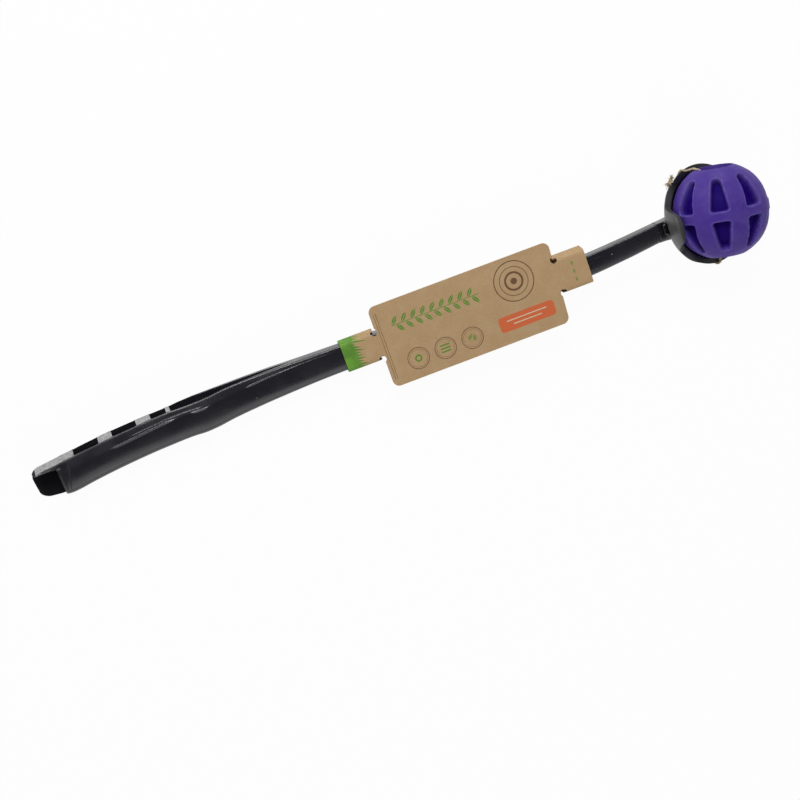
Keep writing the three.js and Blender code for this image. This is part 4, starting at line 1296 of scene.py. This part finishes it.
kraft, tree = new_material("kraft_board")
parts = parts_of(tree, node(tree, "Attribute", attribute_name="flat_place").outputs["Vector"])
u, w = parts["X"], parts["Y"]
flat = node(tree, "CombineXYZ", {0: u, 1: w}).outputs[0]
fibre_long = node(tree, "Mapping", {"Vector": flat, "Scale": (0.55, 3.6, 1)}).outputs[0]
fibre_long = noise(tree, fibre_long, scale=1.0, detail=4.0, roughness=0.7)[0]
fibre_cross = {"Vector": flat, "Rotation": (0, 0, 0.7), "Scale": (2.8, 0.6, 1)}
fibre_cross = noise(tree, node(tree, "Mapping", fibre_cross).outputs[0], scale=1.0, detail=3.0)[0]
cloud = noise(tree, flat, scale=0.09, detail=5.0, roughness=0.65)[0]
tone = maths(tree, "ADD", times(tree, fibre_long, 0.6), times(tree, fibre_cross, 0.4))
colour = mixed(tree, ramped(tree, tone, 0.5, 0.36, 0.0, 0.38), kraft_brown, kraft_dark)
colour = mixed(tree, ramped(tree, tone, 0.52, 0.68, 0.0, 0.45), colour, kraft_pale)
colour = mixed(tree, ramped(tree, cloud, 0.35, 0.7, 0.0, 0.22), colour, kraft_pale)
flecks = placed(tree, dust_group, {"Place": flat, "Spacing": 1700.0, "Size": 260.0, "Share": 0.35})
colour = mixed(tree, times(tree, flecks["Mask"], 0.55), colour, kraft_dark)

# The print lies on one side. Its lines wobble a little, and it is thinner where the board is dark.
printed_side = ramped(tree, parts["Z"], 0.86, 0.97)
wobble = noise(tree, flat, scale=1.3, detail=2.0, noise_dimensions="2D")["Color"]
wobble = node(tree, "VectorMath", {0: wobble, 1: (0.5, 0.5, 0.5)}, operation="SUBTRACT").outputs[0]
wobble = node(tree, "VectorMath", {0: wobble, "Scale": 0.28}, operation="SCALE").outputs[0]
drawn = node(tree, "VectorMath", {0: flat, 1: wobble}, operation="ADD").outputs[0]
laid_ink = times(tree, printed_side, ramped(tree, tone, 0.3, 0.42, 0.55, 0.95))


def print_ink(colour, masks, ink):
    """Prints shapes in one ink."""
    whole = masks[0]
    for mask in masks[1:]:
        whole = maths(tree, "MAXIMUM", whole, mask)
    return mixed(tree, times(tree, whole, laid_ink), colour, ink)


def printed(group, centre, **sizes):
    """One printed shape, its sizes named as the group names them."""
    inputs = {label.replace("_", " ").title(): value for label, value in sizes.items()}
    return placed(tree, group, {"Place": drawn, "Centre": (*centre, 0), **inputs})["Mask"]


def bar(centre, **sizes):
    return printed(bar_group, centre, **sizes)


def leaf(centre, degrees, **sizes):
    return printed(leaf_group, centre, turn=-math.radians(degrees), **sizes)


def ring_marks(places, radius, line):
    return [printed(ring_group, place, radius=radius, line=line) for place in places]


# Two thin lines inside the panel's end, and a row of rings with a ring, bars and leaves in them.
sizes = {"half_length": 0.16, "half_width": panel_width / 2 - 5, "corner": 0.1}
end_lines = [bar((panel_start + step, panel_shift), **sizes) for step in (2.4, 3.9)]
ring_u, ring_step, ring_w = 46, 19, -17
first, second, third = [(ring_u + ring_step * i, ring_w) for i in range(3)]
sizes = {"half_length": 3.4, "half_width": 0.5, "corner": 0.45}
bars = [bar((second[0], ring_w + step), **sizes) for step in (-2.2, 0, 2.2)]
sizes = {"half_length": 2.6, "half_width": 1.0}
pair = [
    leaf((third[0] - 1.3, ring_w + 1), 40, **sizes),
    leaf((third[0] + 1.5, ring_w - 0.4), 75, **sizes),
]
colour = print_ink(colour, end_lines, ink_brown)
colour = print_ink(colour, ring_marks((first, second, third), radius=7.2, line=0.5), ink_brown)
colour = print_ink(colour, ring_marks((first, second, third), radius=6.0, line=0.22), ink_brown)
colour = print_ink(colour, ring_marks([first], radius=1.9, line=1.1), ink_green)
colour = print_ink(colour, bars, ink_green)
colour = print_ink(colour, pair, ink_green)

# A sprig across the middle, a patch with two lines below it and a target of rings beside them.
sprig = [bar((67, 9.5), half_length=31, half_width=0.22, corner=0.2)]
leaf_step, leaf_turn, sizes = 6.6, 52, {"half_length": 3.6, "half_width": 1.3}
for i in range(9):
    sprig.append(leaf((39 + leaf_step * i, 12.4), leaf_turn, **sizes))
    sprig.append(leaf((41.5 + leaf_step * i, 6.6), -leaf_turn, **sizes))
patch = bar((123, -16.5), half_length=19.5, half_width=5.2, corner=2.4)
patch_lines = [
    bar((123, -14.9), half_length=14, half_width=0.35, corner=0.3),
    bar((123, -17.9), half_length=10, half_width=0.35, corner=0.3),
]
target_place, target = (122, 9), [(13.4, 0.7), (9.6, 0.5), (5.8, 1.4), (1.1, 2.2)]
colour = print_ink(colour, sprig, ink_green)
colour = print_ink(colour, [patch], ink_orange)
colour = print_ink(colour, patch_lines, ink_cream)
colour = print_ink(colour, [ring_marks([target_place], *ring)[0] for ring in target], ink_brown)

# A green band round the grip's collar, with grass blades, and three small leaves on the other.
solid_band, blade_length, blade_gap, blade_lean = 8.0, 10.88, 1.9, 0.22
lean = maths(tree, "ADD", w, times(tree, u, blade_lean))
phase = maths(tree, "DIVIDE", lean, blade_gap)
saw = maths(tree, "PINGPONG", phase, 0.5)
uneven = noise(tree, maths(tree, "FLOOR", phase), scale=3.1, detail=0.0, noise_dimensions="1D")[0]
blades = times(tree, times(tree, saw, 2.0), uneven)
edge_of_band = maths(tree, "ADD", solid_band, times(tree, blades, blade_length))
band = ramped(tree, maths(tree, "SUBTRACT", edge_of_band, u), -0.15, 0.35)
colour = print_ink(colour, [band], ink_green)
bright = times(tree, band, ramped(tree, cloud, 0.42, 0.6))
bright = times(tree, bright, ramped(tree, u, solid_band + 2, 1.0, 0.2, 0.9))
colour = print_ink(colour, [bright], ink_grass)
sizes = {"half_length": 2.0, "half_width": 0.75}
leaves = [leaf((panel_end + 12, leaf_w), 90, **sizes) for leaf_w in (-4.5, 1.2, 6.8)]
colour = print_ink(colour, leaves, ink_green)

# Folds are cracked pale, with a painted highlight along them, and the cut edges show the board's core.
creased = 0.0
for start, end, half, shift in collars:
    middle = half - board / 2 - fold_mid + math.pi / 4 * fold_mid
    away = maths(tree, "ABSOLUTE", maths(tree, "SUBTRACT", w, shift))
    near = ramped(tree, maths(tree, "ABSOLUTE", maths(tree, "SUBTRACT", away, middle)), 0.9, 0.1)
    within = maths(tree, "GREATER_THAN", u, start - 0.1)
    within = times(tree, within, maths(tree, "LESS_THAN", u, end + 0.1))
    creased = maths(tree, "MAXIMUM", creased, times(tree, near, within))
# Pale along the folds: cracked fibres, and a painted highlight.
crease = times(tree, creased, ramped(tree, fibre_cross, 0.4, 0.62, 0.0, 0.22))
colour = mixed(tree, crease, colour, kraft_pale)
off_middle = maths(tree, "ABSOLUTE", maths(tree, "SUBTRACT", times(tree, parts["Z"], 2.0), 1.0))
core = maths(tree, "SUBTRACT", 1.0, off_middle)
colour = mixed(tree, ramped(tree, core, 0.1, 0.5, 0.0, 0.7), colour, kraft_cut)
rough = ramped(tree, tone, 0.35, 0.65, 0.9, 0.72)
look = {"Base Color": colour, "Roughness": rough, "IOR": 1.45}
surfaced(tree, look, tone, strength=0.35, depth=0.12)
card.data.materials.append(kraft)
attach(card, "sleeve")
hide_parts("card_sleeve")


# The twine tie: natural two-ply twine, knotted on the cup's edge with frayed ends. It runs over
# the rim, through the ball from pole to pole, over the lower rim and round behind the cup, and it
# holds the ball in.
twine_route = [
    [-18.3, 29.6, -15.9], [-16.1, 27.5, -20.9], [-12.2, 26.6, -24.4], [-9.1, 27.2, -25.1],
    [-7.1, 28.5, -24.2], [-6.8, 30.9, -21.2], [-7.4, 33.3, -17.0], [-7.6, 33.6, -14.6],
    [-6.4, 32.3, -13.4], [-3.6, 31.9, -12.8], [-3.0, 31.9, -10.6], [-4.2, 32.2, -7.2],
    [-6.0, 32.1, -3.8], [-6.6, 31.8, -1.8], [-5.2, 30.4, -0.7], [-4.2, 28.6, -0.3],
    [-2.0, 27.1, 0.9], [1.6, 25.8, 2.4], [2.9, 23.2, 2.8], [2.8, 20.6, 2.3], [1.9, 13.8, 1.7],
    [0, 0, 0], [-1.9, -13.8, -1.7], [-3.2, -23.4, -2.9], [-3.6, -26.4, -4.2], [-3.4, -29.2, -8.2],
    [-2.8, -31, -13], [-3.0, -33.0, -13.6], [-3.6, -34.1, -15.1], [-3.9, -34, -16.9],
    [-4.4, -32.6, -19.1], [-5.2, -28.6, -24.5], [-7.2, -21.4, -30.7], [-9.5, -11, -35.2],
    [-10.6, 0, -36.6], [-10.9, 10, -35.2], [-11.6, 19, -31], [-14.6, 25.4, -24.6],
    [-17.2, 28.2, -19.6], [-18.3, 29.6, -15.9],
]
ply_diameter, ply_offset, ply_turn = 0.86, 0.37, 3.5
hair_count, hair_reach, hair_thick = 90, (0.6, 1.5), (0.07, 0.03)
fibre_count, fibre_reach, fibre_thick = 60, (1.3, 3.1), (0.24, 0.08)
hair_root = 0.6
first_across = (0.3, 0.5, 0.81)
twine_points, twine_faces, twine_marks = [], [], []


def through(route, spacing):
    """Evenly spaced points on a smooth curve through a route."""
    route = [np.array(p, float) for p in route]
    ends = [2 * route[0] - route[1]] + route + [2 * route[-1] - route[-2]]
    fine = []
    for i in range(1, len(ends) - 2):
        a, b, c, d = ends[i - 1:i + 3]
        square, cube = 2 * a - 5 * b + 4 * c - d, 3 * b - a - 3 * c + d
        for t in np.linspace(0, 1, 24)[:-1]:
            fine.append(0.5 * (2 * b + (c - a) * t + square * t**2 + cube * t**3))
    fine.append(route[-1])
    fine = np.array(fine)
    run = np.concatenate([[0], np.cumsum(np.linalg.norm(np.diff(fine, axis=0), axis=1))])
    at = np.linspace(0, run[-1], max(3, int(run[-1] / spacing)))
    return np.stack([np.interp(at, run, fine[:, k]) for k in range(3)], 1), at


def frames_along(line):
    """Two directions across a curve at each point, carried along it without twisting."""
    ways = np.gradient(line, axis=0)
    ways /= np.linalg.norm(ways, axis=1)[:, None]
    first = np.cross(ways[0], first_across)
    first /= np.linalg.norm(first)
    firsts = [first]
    for way in ways[1:]:
        first = firsts[-1] - way * np.dot(firsts[-1], way)
        firsts.append(first / np.linalg.norm(first))
    firsts = np.array(firsts)
    return firsts, np.cross(ways, firsts)


def add_strand(line, radii, sides, mark):
    """A round strand along a line, closed at both ends, with a mark for its colour."""
    first, second = frames_along(line)
    start = len(twine_points)
    for i, p in enumerate(line):
        for s in range(sides):
            angle = 2 * math.pi * s / sides
            twine_points.append(p + radii[i] * (first[i] * math.cos(angle) + second[i] * math.sin(angle)))
            twine_marks.append(mark + 0.15 * math.sin(3 * angle + i * 0.9))
    twine_faces.extend(skin_faces(sides, len(line), start))


def add_twine(route, spacing=0.3, phase=0.0):
    """Two plies wound round each other along a route."""
    line, run = through(route, spacing)
    first, second = frames_along(line)
    for ply in range(2):
        angle = (2 * math.pi * run / ply_turn + math.pi * ply + phase)[:, None]
        wound = line + ply_offset * (first * np.cos(angle) + second * np.sin(angle))
        swell = ply_diameter / 2 * (1 + 0.08 * np.sin(run * 1.9 + ply) + 0.05 * np.sin(run * 5.3 + 2 * ply))
        add_strand(wound, swell, 7, 0.35 + 0.25 * ply)
    return line, first, second


line, first, second = add_twine(twine_route)
twine_seed = 41
chance = np.random.default_rng(twine_seed)
for i in chance.choice(len(line) - 4, hair_count, replace=False):
    angle = chance.uniform(0, 2 * math.pi)
    out_way = first[i] * math.cos(angle) + second[i] * math.sin(angle)
    along_way = (line[i + 1] - line[i]) / np.linalg.norm(line[i + 1] - line[i])
    root = line[i] + out_way * hair_root
    span = chance.uniform(*hair_reach)
    middle = root + out_way * span * 0.25 + along_way * span * 0.5
    hair, _ = through([root, middle, middle + out_way * span * 0.25 + along_way * span * 0.4], 0.3)
    add_strand(hair, np.linspace(*hair_thick, len(hair)), 3, 0.9)

# The knot is one turn pulled tight, and its two cut ends fray into single fibres.
knot_size, knot_spread = 0.92, 0.62
knot_ends = ((2.7, 2.4), (0.1, 2.2))
knot_centre = np.array(twine_route[0])
outwards = knot_centre / np.linalg.norm(knot_centre)
knot_along = np.cross((0, 0, 1), outwards)
knot_along /= np.linalg.norm(knot_along)
knot_across = np.cross(outwards, knot_along)
knot_middle = knot_centre + outwards * 0.1 + knot_along * 0.9
loop = []
for t in np.linspace(0, 2 * math.pi, 22):
    a = (math.sin(t) + 2 * math.sin(2 * t)) * knot_size * knot_spread
    b = (math.cos(t) - 2 * math.cos(2 * t)) * knot_size * knot_spread
    c = -math.sin(3 * t) * knot_size
    loop.append(knot_middle + knot_along * a + knot_across * b + outwards * c)
add_twine(loop, 0.25, 0.8)
for turn_angle, end_length in knot_ends:
    way = knot_along * math.cos(turn_angle) + knot_across * math.sin(turn_angle)
    stub_end = knot_middle + way * end_length + outwards * 0.7
    add_twine([knot_middle, knot_middle + way * end_length * 0.5 + outwards * 0.6, stub_end], 0.25, 1.7)
    for _ in range(fibre_count):
        spread = way + chance.normal(0, 0.42) * knot_along + chance.normal(0, 0.42) * knot_across
        spread = spread + outwards * chance.uniform(-0.12, 0.45)
        spread /= np.linalg.norm(spread)
        bend = chance.normal(0, 0.35, 3)
        span = chance.uniform(*fibre_reach)
        start = stub_end - way * chance.uniform(0.2, 1.4) + bend * 0.5
        middle = start + spread * span * 0.5 + bend * 0.4
        fibre, _ = through([start, middle, start + (spread + bend * 0.7) * span], 0.4)
        add_strand(fibre, np.linspace(*fibre_thick, len(fibre)), 4, chance.uniform(0.0, 0.8))

points = [cup_place @ Vector(p) for p in twine_points]
tie = solid("tied_twine", points, twine_faces)
tie.data.shade_smooth()
made = tie.data.attributes.new("ply", "FLOAT", "POINT")
made.data.foreach_set("value", np.array(twine_marks, np.float32))

twine_pale = (0.63, 0.55, 0.38, 1)
twine_brown = (0.36, 0.255, 0.14, 1)
fibre_material, tree = new_material("natural_twine")
place = node(tree, "TexCoord").outputs["Object"]
ply = node(tree, "Attribute", attribute_name="ply").outputs["Fac"]
grain = placed(tree, grain_group, {"Place": place, "Size": 0.35, "Mottle Size": 5.0})
tone = maths(tree, "ADD", times(tree, ply, 0.5), times(tree, grain["Mottle"], 0.4))
colour = mixed(tree, ramped(tree, tone, 0.1, 0.8), twine_brown, twine_pale)
look = {"Base Color": colour, "Roughness": 0.85, "Sheen Weight": 0.25}
surfaced(tree, look, grain["Height"], strength=0.5, depth=0.1)
tie.data.materials.append(fibre_material)
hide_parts("twine_tie")
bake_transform(tie)
